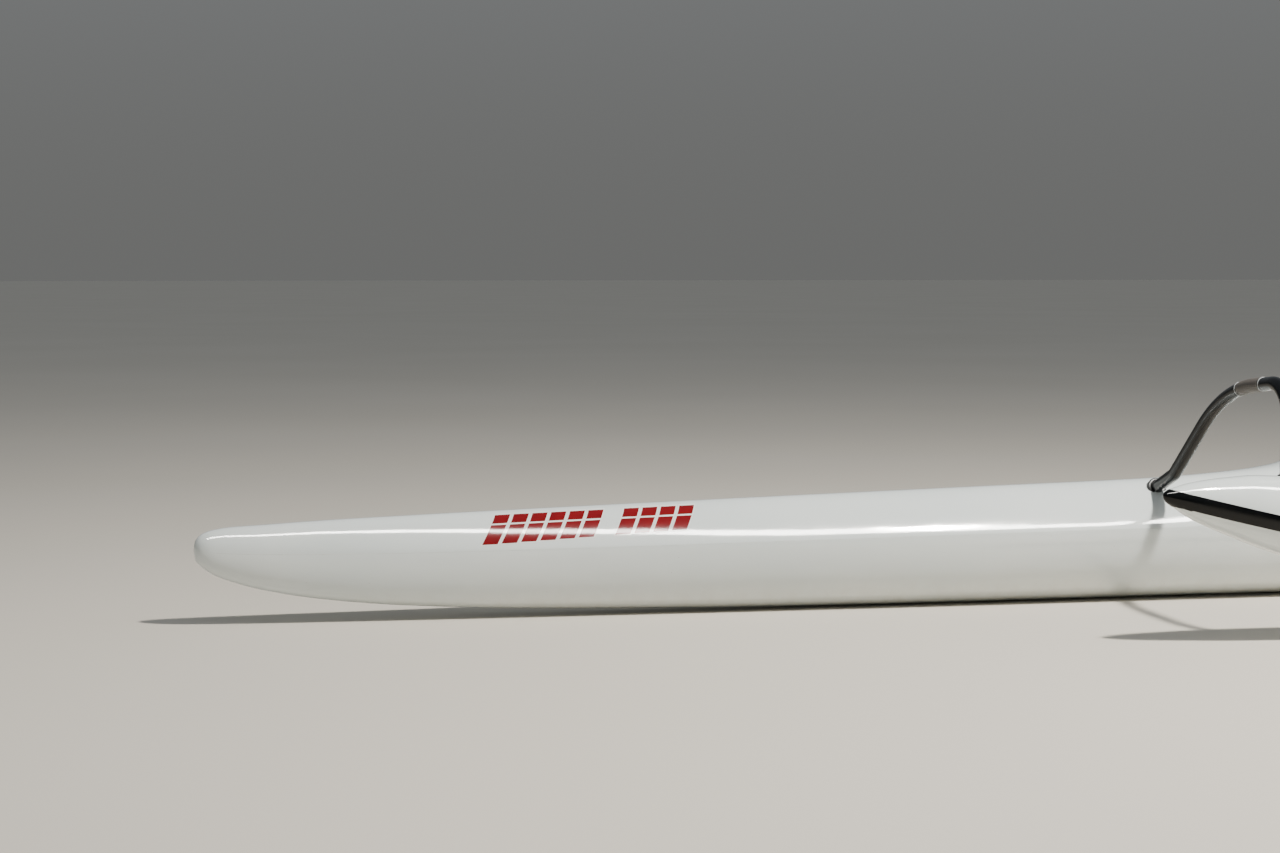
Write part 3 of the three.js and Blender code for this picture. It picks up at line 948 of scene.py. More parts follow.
@dataclass(frozen=True)
class StudioFloor(Finish):
    """A plain pale floor, matt, with tones so slow that it reads as one sweep."""

    light: str = "CBC5BA"

    def surface(self, add: Adder) -> Inputs:
        """A very slow change of tone.

        Args:
            add: adds a node.

        Returns:
            What feeds the shader's inputs.
        """
        slow = add("TexNoise", Scale=per_metre(3000.0), Detail=2.0, Vector=add("TexCoord", "Object"))
        first, second = linear(self.colour), linear(self.light)
        return {"Base Color": add("Mix", 2, data_type="RGBA", in_0=slow, in_6=first, in_7=second)}


# Wet gloss of the white mouldings
GELCOAT = Gelcoat("polished_gelcoat", "D2DBDB", 0.10, coat=0.6, coat_roughness=0.04)
# The joint's filled line, barely greyer than the gelcoat
JOINT_LINE = GrainedFinish("gelcoat_joint_line", "C4CAC8", 0.3, worn="CED3D1")
# Grey woven look of the well's inside
LAMINATE = GlassLaminate("glass_cloth_laminate", "B4B8B4", 0.32)
# Smooth lumpy edge where a panel is bonded in
RESIN_FILLET = GrainedFinish("thickened_resin_fillet", "A3A7A4", 0.28, grain_mm=9.0, grain_depth=0.6,
                             worn="B6BAB6")
# Near-black tube with a soft shine
BOOM_PAINT = GrainedFinish("satin_powder_paint", "050608", 0.2, ior=1.35, grain_mm=1.6, grain_depth=0.03,
                           worn="0E1013")
# Dull brown grip between the rings
WRAP = ClothTape("wound_cloth_tape", "26221E", 0.55)
# Thin pale rings that end the wrap
PALE_RING = GrainedFinish("pale_vinyl_ring", "A6AAAC", 0.4, worn="8E9294")
# Dull black trim, grommets and seals
RUBBER = GrainedFinish("moulded_rubber", "0B0C0D", 0.36, grain_mm=0.9, grain_depth=0.05, worn="141517")
# Slightly pebbled black fittings
PLASTIC = GrainedFinish("moulded_nylon", "16181A", 0.42, grain_mm=1.0, grain_depth=0.09, worn="24272A")
# Matt dark pad with open pores
FOAM = GrainedFinish("closed_cell_foam", "1D2023", 0.86, grain_mm=2.2, grain_depth=0.25, worn="2C3034")
# Silky grey tracks
ANODISED = BrushedMetal("anodised_aluminium", "A6AAAE", 0.34, metallic=1.0)
# Wet black band round the float
VINYL = VinylBand("glossy_black_vinyl", "040506", 0.08, ior=1.33)
# Deep red bars and their pale edges
RED_FILM = Film("red_print_film", "7E020A", 0.12, deep="620209", coat=0.0)
WHITE_FILM = Film("white_print_film", "EDEBE8", 0.14, deep="E4E2DF", coat=0.3)
# The pale sweep that everything stands on
FLOOR = StudioFloor("matt_studio_floor", "C2BCB0", 0.8)


def dressed(obj: Piece, finish: Finish, slot: Slot, *nodes: str, angle: float = 35.0) -> None:
    """Finishes a piece: material, shading, its body and the nodes it stands for.

    Args:
        obj: the piece, its place already in its mesh.
        finish: what it is made of.
        slot: the record's slot; not used.
        nodes: the CAD nodes that it replaces.
        angle: edges sharper than this stay sharp, in degrees.
    """
    if not obj.data.materials:
        obj.data.materials.append(finish.material())
    elif obj.data.materials[0] is None:
        obj.data.materials[0] = finish.material()
    only(obj)
    bpy.ops.object.shade_smooth_by_angle(angle=math.radians(angle))
    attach(obj, BODY)
    if nodes:
        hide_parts(*nodes)
    log.info("%s: %d faces", obj.name, len(obj.data.polygons))


# Hull


@dataclass
class HullShell:
    """The hull and deck in one moulded skin, with the joint line along its seam and the open well."""

    lines: Lines = HULL_LINES
    rings: int = 400
    wall: float = 6.0
    well: tuple[float, float] = (3000.0, 4610.0)
    well_steps: int = 70
    opening_middle: float = 3940.0
    opening_half: tuple[float, float] = (530.0, 148.0)
    opening_power: float = 2.8
    opening_z: tuple[float, float] = (250.0, 600.0)
    joint_half: float = 0.8
    joint_ends: float = 60.0

    def oval(self, turn: Array, grow: float = 0.0) -> tuple[Array, Array]:
        """The opening's outline at even steps, in millimetres.

        Args:
            turn: 0 to 1 round the opening.
            grow: how far outside the cut edge.

        Returns:
            Distances aft and across.
        """
        angle = np.linspace(0.0, 2 * np.pi, 2881)
        x, y = (half * np.sign(wave) * np.abs(wave) ** (2 / self.opening_power)
                for half, wave in zip(self.opening_half, (np.cos(angle), np.sin(angle))))
        run = run_along(np.stack([x, y], axis=1))
        at, step = turn * run[-1], run[-1] / 720
        (px, tx), (py, ty) = ((np.interp(at, run, v), np.interp(at + step, run, v, period=run[-1])
                               - np.interp(at - step, run, v, period=run[-1])) for v in (x, y))
        size = np.hypot(tx, ty)
        return self.opening_middle - (px + grow * ty / size), py - grow * tx / size

    def opening_block(self) -> Piece:
        """An upright block of the opening's outline, through the deck.

        Returns:
            The block.
        """
        obj = started("opening_block", bpy.ops.mesh.primitive_cylinder_add, vertices=224, radius=1.0,
                      depth=1.0)
        x, y, z = coordinates(obj).T
        low, high = self.opening_z
        put(obj, on_hull(*self.oval(turns(x, y)), np.where(z > 0, high, low)))
        close_up(obj)
        return obj

    def build(self) -> Piece:
        """Draws the shell, hollows the well, cuts the opening and marks the joint line.

        Returns:
            The shell.
        """
        shell = self.lines.body("hull_shell", self.rings)
        shell.data.materials.append(GELCOAT.material())
        well = self.lines.section_body("well_block", *self.well, self.wall, self.well_steps)
        for cutter in (well, self.opening_block()):
            cutter.data.materials.append(LAMINATE.material())
            cut(shell, cutter)
        shell.data.materials.append(JOINT_LINE.material())
        joint = len(shell.data.materials) - 1
        x, y, z = np.array([p.center[:] for p in shell.data.polygons]).T
        s = np.clip((BOW_X - x) / MM, 0.0, self.lines.length)
        _, seam, _, half, *_ = self.lines.columns(s).T
        marked = np.abs(z / MM - seam) < self.joint_half
        marked &= np.abs(y - HULL_Y) / MM > half - 3.0
        marked &= (s > self.joint_ends) & (s < self.lines.length - self.joint_ends)
        for i in np.flatnonzero(marked):
            shell.data.polygons[int(i)].material_index = joint
        nodes = ("hull_moulding", "fore_deck", "cockpit_deck", "aft_deck")
        dressed(shell, GELCOAT, Slot.GELCOAT, *nodes, angle=50.0)
        return shell


@dataclass
class CockpitRim:
    """Rubber trim pressed over the cut edge of the opening."""

    shell: HullShell
    steps: int = 256

    def build(self) -> None:
        """Draws the trim's profile round the opening, square to the deck."""
        # Out from the cut edge and up from the deck's surface, in millimetres
        profile = np.array([
            (14, -0.5), (13.9, 2.2), (12.6, 4.4), (10, 5.6), (6.5, 6.3), (2.5, 6.9), (-1.5, 6.8), (-4, 5.4),
            (-5, 2.6), (-5, -2), (-5, -7), (-4.6, -9.4), (-2.8, -10.8), (0, -11), (5, -10.6), (9, -9.4),
            (10, -7.5), (8, -4), (10, -3), (12.5, -2),
        ])
        top = self.shell.lines.top

        def place(turn: Array, rows: Array) -> Array:
            """Lays the profile's rows on the deck.

            Args:
                turn: turns round the opening.
                rows: the profile's rows there.

            Returns:
                Their places.
            """
            s0, y0 = self.shell.oval(turn)
            s1, y1 = self.shell.oval(turn, 1.0)
            s, across = s0 + (s1 - s0) * rows[:, 0], y0 + (y1 - y0) * rows[:, 0]
            by_s = (top(s + 2.0, across) - top(s - 2.0, across)) / 4.0
            by_y = (top(s, across + 1.0) - top(s, across - 1.0)) / 2.0
            normal = np.stack([by_s, -by_y, np.ones_like(by_s)], axis=1)
            normal /= np.linalg.norm(normal, axis=1)[:, None]
            return on_hull(s, across, top(s, across)) + normal * rows[:, 1:] * MM

        rim = swept_ring("cockpit_rim_trim", profile, place, self.steps)
        dressed(rim, RUBBER, Slot.EDGE_RUBBER, "cockpit_rim")


@dataclass
class ScrewVent:
    """A screw vent: a ribbed cap on a round flange, with a bar to turn it by."""

    flange: float = 17.0
    height: float = 6.0
    grip: float = 9.0
    grip_height: float = 11.0
    ribs: int = 24

    def build(self, name: str, node: str, axis: Vector, at: Vector) -> None:
        """Turns the flange and cap, cuts the ribs, adds the grip bar and fits the vent.

        Args:
            name: the piece's name.
            node: the CAD node that it replaces.
            axis: the way its cap faces.
            at: the middle of its foot.
        """
        body = turned(name, [(0, -3), (self.flange - 1, -3), (self.flange, -1), (self.flange, 1.2),
                             (self.flange - 0.8, 2.2), (13.6, 2.6), (13.2, 5.2), (12.4, self.height),
                             (self.grip + 1, self.height), (self.grip, self.height - 0.8), (0, 4.8)],
                      2 * self.ribs)
        step = math.tau / (2 * self.ribs)

        def rib(middle: Vector, normal: Vector) -> bool:
            """Every second face round the cap's side."""
            side = abs(normal.z) < 0.5 and 2.6 * MM < middle.z < 5.2 * MM
            return side and int(math.atan2(middle.y, middle.x) % math.tau / step) % 2 == 0

        with editing(body):
            pick_faces(body, rib)
            bpy.ops.mesh.extrude_region_shrink_fatten(TRANSFORM_OT_shrink_fatten={"value": 0.7 * MM})
        bar = block("vent_bar", (2 * self.grip, 4.2, 7.0), (0, 0, self.grip_height - 3.5), 1.2, 2)
        body = joined(name, [body, bar])
        settle(body, along(axis, at))
        dressed(body, PLASTIC, Slot.BLACK_PLASTIC, node)


@dataclass
class Bulkheads:
    """The two flat laminate panels that close the well, their resin fillets and screw vents."""

    shell: HullShell
    thickness: float = 10.0
    gap: float = 0.3
    vent_z: float = 300.0
    fillet: float = 9.0

    def panel(self, word: str, face: float, facing: float) -> None:
        """A flat panel across the well.

        Args:
            word: front or rear.
            face: the distance aft of its face in the well.
            facing: +1 where the face looks aft, -1 where it looks forward.
        """
        span = sorted((face, face - facing * self.thickness))
        body = self.shell.lines.section_body(f"{word}_bulkhead_panel", *span, self.shell.wall - 1.5, 1)
        dressed(body, LAMINATE, Slot.GELCOAT, f"{word}_bulkhead")

    def corner(self, word: str, face: float, facing: float) -> None:
        """A fillet of thickened resin where a panel meets the skin.

        Args:
            word: front or rear.
            face: as for the panel.
            facing: as for the panel.
        """
        lines, wall = self.shell.lines, self.shell.wall
        foot, reach = lines.rings(np.array([face, face + facing * self.fillet]), wall - 0.5)
        inner = lines.rings(np.array([face]), wall + self.fillet)[0]
        profile = np.array([(0.0, 0.0), (1.0, 0.0), (0.55, 0.18), (0.18, 0.55), (0.0, 1.0)])

        def place(turn: Array, rows: Array) -> Array:
            """Between the corner, the skin and the panel."""
            i = np.rint(turn * len(foot)).astype(int) % len(foot)
            return foot[i] + rows[:, :1] * (reach[i] - foot[i]) + rows[:, 1:] * (inner[i] - foot[i])

        ring = swept_ring(f"{word}_bulkhead_fillet", profile, place, len(foot))
        dressed(ring, RESIN_FILLET, Slot.GELCOAT, angle=60.0)

    def vent(self, word: str, face: float, facing: float) -> None:
        """A screw vent on a panel's face, its arguments as for the panel."""
        at = Vector(on_hull(face, 0.0, self.vent_z))
        ScrewVent().build(f"{word}_screw_vent", f"{word}_bulkhead_vent", Vector((-facing, 0, 0)), at)

    def build(self) -> None:
        """Builds both panels, then their fillets and vents."""
        start, end = self.shell.well
        depth = self.gap + self.thickness
        for make in (self.panel, self.corner, self.vent):
            make("front", start + depth, 1.0)
            make("rear", end - depth, -1.0)


@dataclass
class Seat:
    """The moulded seat pedestal and the shaped foam pad on it."""

    shell: HullShell
    start: float = 3880.0
    back: float = 430.0
    lip: float = 14.0
    top: Outline = ((0, 128), (60, 138), (130, 120), (280, 118), (360, 142), (430, 228))
    steps: int = 110
    pad_span: tuple[float, float] = (66.0, 356.0)
    pad_half: float = 112.0
    pad_thickness: float = 20.0
    pad_power: float = 5.0
    swell_frames: int = 20
    cap: float = 5.0

    def height(self, back: Array) -> Array:
        """Height of the seat's top at distances back from its front edge."""
        marks, heights = np.array(self.top, dtype=float).T
        return smooth_through(marks, heights[:, None], back)[:, 0]

    def dish(self, back: Array, across: Array) -> Array:
        """How far the paddler's place is dished, 0 to 1, at distances back and across."""
        return np.sin(np.pi * np.clip(back / self.back, 0, 1)) * np.clip(1 - (across / 115.0) ** 2, 0, 1)

    def side(self, fine: int = 900) -> Array:
        """The pedestal's side view, rounded and in even steps.

        Args:
            fine: even steps in which it is rounded.

        Returns:
            Distance back from its front edge and height, one row for each step.
        """
        at, end = np.linspace(0.0, self.back, 120), self.back + self.lip
        rough = np.vstack([[(0.0, 2.0), (0.0, 120.0)], np.stack([at, self.height(at)], axis=1),
                           [(end, 228.0), (end, 2.0)]])
        run = run_along(rough)
        even = np.linspace(0.0, run[-1], fine)
        kernel = np.hanning(25)
        kernel /= kernel.sum()
        pick = np.linspace(0, fine - 1, self.steps + 1)
        rounded = (np.convolve(np.pad(np.interp(even, run, v), 12, mode="edge"), kernel, mode="valid")
                   for v in rough.T)
        return np.stack([np.interp(pick, np.arange(fine), v) for v in rounded], axis=1)

    def pedestal(self) -> None:
        """A moulded sheet bent over the seat's side view, out to the skin on both sides."""
        side = self.side()

        def place(u: Array, v: Array) -> Array:
            """From skin to skin, dished a little where the paddler sits.

            Args:
                u: along the side view, 0 to 1.
                v: from starboard to port, 0 to 1.

            Returns:
                Their places.
            """
            back, z = side[np.rint(u * self.steps).astype(int)].T
            s = self.start + back
            across = (2 * v - 1) * self.shell.lines.inner_half(s, z, self.shell.wall + 0.3)
            return on_hull(s, across, z - 7.0 * self.dish(back, across) * (z > 90))

        obj = sheet("seat_pedestal_moulding", self.steps, 40, place, rolled=False)
        close_up(obj)
        modified(obj, "SOLIDIFY", thickness=4 * MM, offset=-1.0)
        dressed(obj, GELCOAT, Slot.GELCOAT, "seat_pedestal", angle=60.0)

    def pad(self) -> None:
        """A foam pad, swelled by cloth simulation, then grooved."""
        obj = started("seat_pad_foam", bpy.ops.mesh.primitive_cube_add, size=2.0)
        with editing(obj, "FACE", "SELECT"):
            bpy.ops.mesh.subdivide(number_cuts=23)
        x, y, z = coordinates(obj).T
        # The block's corners pull in to a rounded plan, and it follows the seat's side view
        plan, turn = np.maximum(np.abs(x), np.abs(y)), np.arctan2(y, x)
        cos, sin, power = np.cos(turn), np.sin(turn), self.pad_power
        reach = plan * (np.abs(cos) ** power + np.abs(sin) ** power) ** (-1 / power)
        first, last = self.pad_span
        back = first + (last - first) * (1 - reach * cos) / 2
        across = reach * sin * self.pad_half * (1 - 0.06 * np.abs(reach * cos) ** 3)
        edge = np.clip((1 - plan) / 0.12, 0.0, 1.0)
        thick = self.pad_thickness * (0.62 + 0.38 * np.sqrt(1 - (1 - edge) ** 2))
        foot = self.height(back) + 1.5 - 6.0 * self.dish(back, across)
        put(obj, on_hull(self.start + back, across, foot + thick * (z + 1) / 2))
        close_up(obj)
        modified(obj, "REMESH", mode="VOXEL", voxel_size=5 * MM, use_smooth_shade=True)
        self.swell(obj)
        modified(obj, "SUBSURF", levels=1, render_levels=1)
        self.grooves(obj)
        dressed(obj, FOAM, Slot.SEAT_FOAM, "seat_pad", angle=60.0)

    def swell(self, obj: Piece) -> None:
        """Swells the pad by cloth simulation and caps how far each point moves.

        Args:
            obj: the pad.
        """
        before = coordinates(obj)
        only(obj)
        modifier = obj.modifiers.new("Cloth", "CLOTH")
        settings = modifier.settings
        settings.quality = 6
        settings.use_pressure = True
        settings.uniform_pressure_force = 4.0
        settings.effector_weights.gravity = 0.0
        modifier.point_cache.frame_start, modifier.point_cache.frame_end = 1, self.swell_frames
        for step in range(1, self.swell_frames + 1):
            bpy.context.scene.frame_set(step)
        bpy.ops.object.modifier_apply(modifier=modifier.name)
        bpy.context.scene.frame_set(1)
        move = coordinates(obj) - before
        size = np.linalg.norm(move, axis=1)[:, None]
        put(obj, before + move * np.minimum(1.0, self.cap * MM / np.maximum(size, 1e-9)))

    def grooves(self, obj: Piece) -> None:
        """Presses drain channels into the pad's top: two along and four across.

        Args:
            obj: the pad.
        """
        points = coordinates(obj)
        back = (BOW_X - points[:, 0]) / MM - self.start
        across = (points[:, 1] - HULL_Y) / MM
        depth = np.zeros(len(points))
        for at, lines, deep, wide in ((across, (-38.0, 38.0), 3.2, 3.4),
                                      (back, (120.0, 170.0, 220.0, 270.0), 2.8, 3.2)):
            for line in lines:
                depth = np.maximum(depth, deep * np.exp(-(((at - line) / wide) ** 2)))
        upper = np.clip((points[:, 2] / MM - self.height(back) - 8.0) / 6.0, 0.0, 1.0)
        points[:, 2] -= depth * upper * MM
        put(obj, points)


@dataclass
class FootRest:
    """Bonded ledges with notched tracks inside both sides, and the foot brace between them."""

    shell: HullShell
    start: float = 3080.0
    end: float = 3440.0
    z: float = 120.0
    height: float = 22.0
    inner: float = 132.0
    track_thick: float = 7.0
    pitch: float = 20.0
    brace_at: float = 3160.0
    brace_size: tuple[float, float, float] = (14.0, 261.0, 84.0)
    brace_z: float = 128.0
    lean: float = 20.0

    def ledge(self, side: int, word: str) -> None:
        """A laminate ledge from the track to the skin.

        Args:
            side: +1 to port, -1 to starboard.
            word: the side's name.
        """
        stations = np.linspace(self.start, self.end, 19)
        profile = np.array([(0.0, -0.5), (0.0, 0.5), (0.5, 0.62), (1.0, 0.78), (1.0, -0.78), (0.5, -0.62),
                            (0.0, -0.5)])
        steps, sides = len(stations) - 1, len(profile) - 1

        def place(u: Array, v: Array) -> Array:
            """From the track's back to the skin at each station.

            Args:
                u: along the ledge, 0 to 1.
                v: round its profile, 0 to 1.

            Returns:
                Their places.
            """
            s = stations[np.rint(u * steps).astype(int)]
            out, up = profile[np.rint(v * sides).astype(int)].T
            z = self.z + up * self.height
            wall = self.shell.lines.inner_half(s, z, self.shell.wall) + 1.0
            track = self.inner + self.track_thick
            return on_hull(s, side * (track + out * (wall - track)), z)

        obj = sheet(f"foot_ledge_{word}", steps, sides, place)
        modified(obj, "BEVEL", width=2.0 * MM, segments=2, limit_method="ANGLE", angle_limit=math.radians(30))
        dressed(obj, LAMINATE, Slot.GELCOAT, f"foot_rail_{word}")

    def track(self, side: int, word: str) -> None:
        """A notched alloy track on the ledge's inner face.

        Args:
            side: +1 to port, -1 to starboard.
            word: the side's name.
        """
        middle, length = (self.start + self.end) / 2, self.end - self.start
        across = side * (self.inner + self.track_thick / 2)
        obj = block(f"foot_track_{word}", (length, self.track_thick, self.height),
                    on_hull(middle, across, self.z) / MM, 1.0, 2)
        count = int(length / self.pitch) - 1
        for i in range(count):
            s = middle - (i - (count - 1) / 2) * self.pitch
            cut(obj, block("notch", (8, 12, 12), on_hull(s, across - side * 6, self.z + 4) / MM, 1.2, 2))
        dressed(obj, ANODISED, Slot.RAIL_ALLOY)

    def brace(self) -> None:
        """A moulded board with grip ridges for the feet, and a rib at each end."""
        thick, wide, tall = self.brace_size
        parts = [block("foot_brace_board", (thick * 0.55, wide, tall), (thick * 0.22, 0, 0), 2.5)]
        parts += [block("grip", (3.0, wide - 34, 3.4), (-thick * 0.06 - 0.4, 0, row * 8.6), 1.2, 2)
                  for row in range(-4, 5)]
        parts += [block("end_rib", (thick, 9, tall - 6), (0, side * (wide / 2 - 6), 0), 2.0)
                  for side in (-1, 1)]
        board = joined("foot_brace_board", parts)
        at = Matrix.Translation(Vector(on_hull(self.brace_at, 0.0, self.brace_z)))
        settle(board, at @ Matrix.Rotation(math.radians(self.lean), 4, "Y"))
        dressed(board, PLASTIC, Slot.BLACK_PLASTIC, "foot_brace")

    def build(self) -> None:
        """Builds the ledges, the tracks and the brace."""
        for side, word in ((1, "port"), (-1, "starboard")):
            self.ledge(side, word)
            self.track(side, word)
        self.brace()


@dataclass
class BowBars:
    """Two rows of plain slanted bars in red film with a thin pale edge, split by a thin line."""

    shell: Piece
    lines: Lines = HULL_LINES
    groups: tuple[tuple[float, int], ...] = ((781.0, 6), (1155.0, 4))
    pitch: float = 54.0
    width: float = 43.0
    from_deck: tuple[float, float] = (10.0, 85.0)
    rise: float = 0.026
    slant: float = 0.6
    split: tuple[float, float] = (31.0, 35.0)
    edge: float = 3.0
    least_under: float = 1.2
    beside: float = 300.0

    def patch(self, s: float, top: float, bottom: float, side: int, grow: float, low: float) -> Piece:
        """One slanted patch as an upright sheet beside the hull.

        Args:
            s: distance aft of its forward lower corner.
            top: how far under the deck's line its top edge is.
            bottom: how far under it its bottom edge is.
            side: +1 to port, -1 to starboard.
            grow: how far its edges are moved out.
            low: lower end that the slant is measured from.

        Returns:
            The sheet.
        """

        def place(u: Array, v: Array) -> Array:
            """Slanted, and hung from the deck's line.

            Args:
                u: aft, 0 to 1.
                v: up, 0 to 1.

            Returns:
                Their places.
            """
            under = np.maximum(bottom + grow - v * (bottom - top + 2 * grow), self.least_under)
            aft = s + (low - under) * self.slant - grow + u * (self.width + 2 * grow)
            return on_hull(aft, side * self.beside, self.lines.columns(aft)[:, 2] - under)

        return sheet("bar", 10, 14, place, rolled=False)

    def laid(self, name: str, parts: list[Piece], side: int, lift: float, finish: Finish) -> None:
        """Joins the patches, lays them on the hull and gives them the film's thickness.

        Args:
            name: the piece's name.
            parts: the patches.
            side: +1 to port, -1 to starboard.
            lift: how far over the gelcoat they lie, in millimetres.
            finish: the film.
        """
        obj = joined(name, parts)
        modified(obj, "SHRINKWRAP", target=self.shell, wrap_method="PROJECT", use_project_y=True,
                 use_negative_direction=side > 0, use_positive_direction=side < 0, offset=lift * MM)
        with editing(obj, "FACE", "SELECT"):
            cage = bmesh.from_edit_mesh(obj.data)
            if sum(face.normal.y for face in cage.faces) * side < 0:
                bpy.ops.mesh.flip_normals()
        modified(obj, "SOLIDIFY", thickness=0.25 * MM, offset=-1.0)
        dressed(obj, finish, Slot.GELCOAT, angle=60.0)

    def build(self) -> None:
        """Lays the pale edges and the red bars on both sides of the bow."""
        top, bottom = self.from_deck
        upper, lower = self.split
        starts = [start + i * self.pitch for start, count in self.groups for i in range(count)]
        places = [(s, bottom - self.rise * (s - starts[0])) for s in starts]
        for side, word in ((1, "port"), (-1, "starboard")):
            pale = [self.patch(s, top, low, side, self.edge, low) for s, low in places]
            self.laid(f"bow_bar_edges_{word}", pale, side, 0.35, WHITE_FILM)
            red = [self.patch(s, *ends, side, 0.0, low) for s, low in places
                   for ends in ((top, upper), (lower, low))]
            self.laid(f"bow_bars_{word}", red, side, 0.6, RED_FILM)


# Booms


@dataclass(frozen=True)
class BoomShape:
    """Place and lean of one boom's tube, in millimetres and degrees."""

    name: str
    at: float
    entry: float
    ramp: float
    crest: float
    bend: float


def arc(at: Array, inward: Array, outward: Array, radius: float, count: int) -> Array:
    """A round bend between two straight parts.

    Args:
        at: where the two would meet.
        inward: direction of the part before.
        outward: direction of the part after.
        radius: of the bend.
        count: steps along it.

    Returns:
        Its points, with both ends.
    """
    turn = math.acos(float(np.clip(inward @ outward, -1, 1)))
    side = math.copysign(1.0, inward[0] * outward[1] - inward[1] * outward[0])
    start = at - inward * radius * math.tan(turn / 2)
    centre = start + np.array([-inward[1], inward[0]]) * side * radius
    arm = start - centre
    angles = side * turn * np.arange(count + 1) / count
    cos, sin = np.cos(angles), np.sin(angles)
    return centre + np.stack([cos * arm[0] - sin * arm[1], sin * arm[0] + cos * arm[1]], axis=1)


@dataclass
class Boom:
    """A bent tube boom with its grommet, wrap and rings, and the seal where its leg enters the float."""

    shape: BoomShape
    hull: Lines = HULL_LINES
    float_lines: FloatLines = FLOAT_LINES
    radius: float = 19.0
    foot_out: float = 70.0
    kink_out: float = 191.0
    crest_out: float = 498.0
    kink_radius: float = 60.0
    crest_radius: float = 550.0
    inside_hull: float = 110.0
    inside_float: float = 72.0
    steps: int = 320
    sides: int = 40
    wrap: tuple[float, float] = (85.5, 220.0)
    ring_half: float = 2.1

    def __post_init__(self) -> None:
        """Works out the tube's centre line across the canoe."""
        shape = self.shape
        entry, ramp, crest = (np.array([math.cos(math.radians(lean)), math.sin(math.radians(lean))])
                              for lean in (shape.entry, shape.ramp, shape.crest))
        self.foot = np.array([HULL_Y / MM + self.foot_out, float(self.hull.top(shape.at, self.foot_out))])
        self.entry_way = entry
        kink = self.foot + entry * (self.kink_out - self.foot_out) / entry[0]
        top = kink + ramp * (self.crest_out - self.kink_out) / ramp[0]
        corner = top + crest * (FLOAT_Y / MM - top[0]) / crest[0]
        self.float_top = float(self.float_lines.top(shape.at - (BOW_X - FLOAT_NOSE_X) / MM, 0.0))
        before = [(self.foot - entry * self.inside_hull)[None], arc(kink, entry, ramp, self.kink_radius, 16)]
        crested = arc(top, ramp, crest, self.crest_radius, 40)
        after = [crested, arc(corner, crest, np.array([0.0, -1.0]), shape.bend, 64),
                 np.array([[FLOAT_Y / MM, self.float_top - self.inside_float]])]
        rough = np.vstack(before + after)
        run = run_along(rough)
        self.crest_run = float(run[sum(map(len, before)) + len(crested) // 2])
        self.run = np.linspace(0.0, run[-1], self.steps + 1)
        self.path = np.stack([np.interp(self.run, run, v) for v in rough.T], axis=1)

    def sleeve(self, name: str, start: float, end: float, radii: Sequence[float], steps: int) -> Piece:
        """A round sleeve along the tube's centre line.

        Args:
            name: the piece's name.
            start: where it starts, in millimetres along the line.
            end: where it ends.
            radii: how far it is thicker than the tube, at even steps from start to end.
            steps: sections along it.

        Returns:
            The sleeve, closed at both ends.
        """
        ways = np.gradient(self.path, axis=0)
        ways /= np.linalg.norm(ways, axis=1)[:, None]

        def place(u: Array, v: Array) -> Array:
            """Round the centre line.

            Args:
                u: along the sleeve, 0 to 1.
                v: around it, 0 to 1.

            Returns:
                Their places.
            """
            at = start + u * (end - start)
            mid, way = (np.stack([np.interp(at, self.run, part) for part in line.T], axis=1)
                        for line in (self.path, ways))
            way /= np.linalg.norm(way, axis=1)[:, None]
            size = np.interp(u, np.linspace(0, 1, len(radii)), self.radius + np.array(radii))
            x = (BOW_X / MM - self.shape.at) + size * np.cos(2 * np.pi * v)
            y = mid[:, 0] - way[:, 1] * size * np.sin(2 * np.pi * v)
            z = mid[:, 1] + way[:, 0] * size * np.sin(2 * np.pi * v)
            return np.stack([x, y, z], axis=1) * MM

        return sheet(name, steps, self.sides, place)

    def fitting(self, name: str, node: str, profile: Outline, place: Matrix) -> None:
        """A turned rubber fitting round the tube.

        Args:
            name: the piece's name, after the boom's.
            node: the CAD node's, after the boom's.
            profile: radius and height, closed on itself, in millimetres.
            place: where it goes.
        """
        obj = turned(f"{self.shape.name}_{name}", profile, 56)
        settle(obj, place)
        dressed(obj, RUBBER, Slot.EDGE_RUBBER, f"{self.shape.name}_{node}")

    def build(self) -> None:
        """Builds the tube and all that goes with it."""
        name = self.shape.name
        tube = self.sleeve(f"{name}_tube", 0.0, float(self.run[-1]), (0.0, 0.0), self.steps)
        dressed(tube, BOOM_PAINT, Slot.BOOM_PAINT, name)
        start, end = (self.crest_run + v for v in self.wrap)
        wrap = self.sleeve(f"{name}_wrap", start, end, (-0.2, 0.5, 0.6, 0.6, 0.6, 0.5, -0.2), 60)
        dressed(wrap, WRAP, Slot.BOOM_PAINT)
        for word, at in (("lower", start), ("upper", end)):
            ring = self.sleeve(f"{name}_ring_{word}", at - self.ring_half, at + self.ring_half,
                               (-0.2, 0.9, 1.1, 1.1, 0.9, -0.2), 10)
            dressed(ring, PALE_RING, Slot.BOOM_PAINT, angle=50.0)
        x, bore = BOW_X - self.shape.at * MM, self.radius - 0.4
        # The grommet where the tube enters the hull's side leans as the tube does
        lip = ((27.5, -6), (28.4, 0), (28.8, 4.5), (28.2, 7.4), (26.4, 9.6), (24, 10.8), (21.2, 11))
        self.fitting("grommet", "collar",
                     ((bore, -34), (27, -34), *lip, (19.7, 10.2), (bore, 9.2), (bore, -34)),
                     along(Vector((0, *self.entry_way)), Vector((x, *self.foot * MM))))
        # The seal goes round the leg where it enters the float's top
        lip = ((25, 0.6), (24.6, 2.2), (23.6, 3.3), (22, 4), (20.4, 4))
        self.fitting("seal", "float_seal",
                     ((bore, -20), (24.6, -20), *lip, (19.5, 3.4), (bore, 2.8), (bore, -20)),
                     Matrix.Translation((x, FLOAT_Y, self.float_top * MM)))


# Float


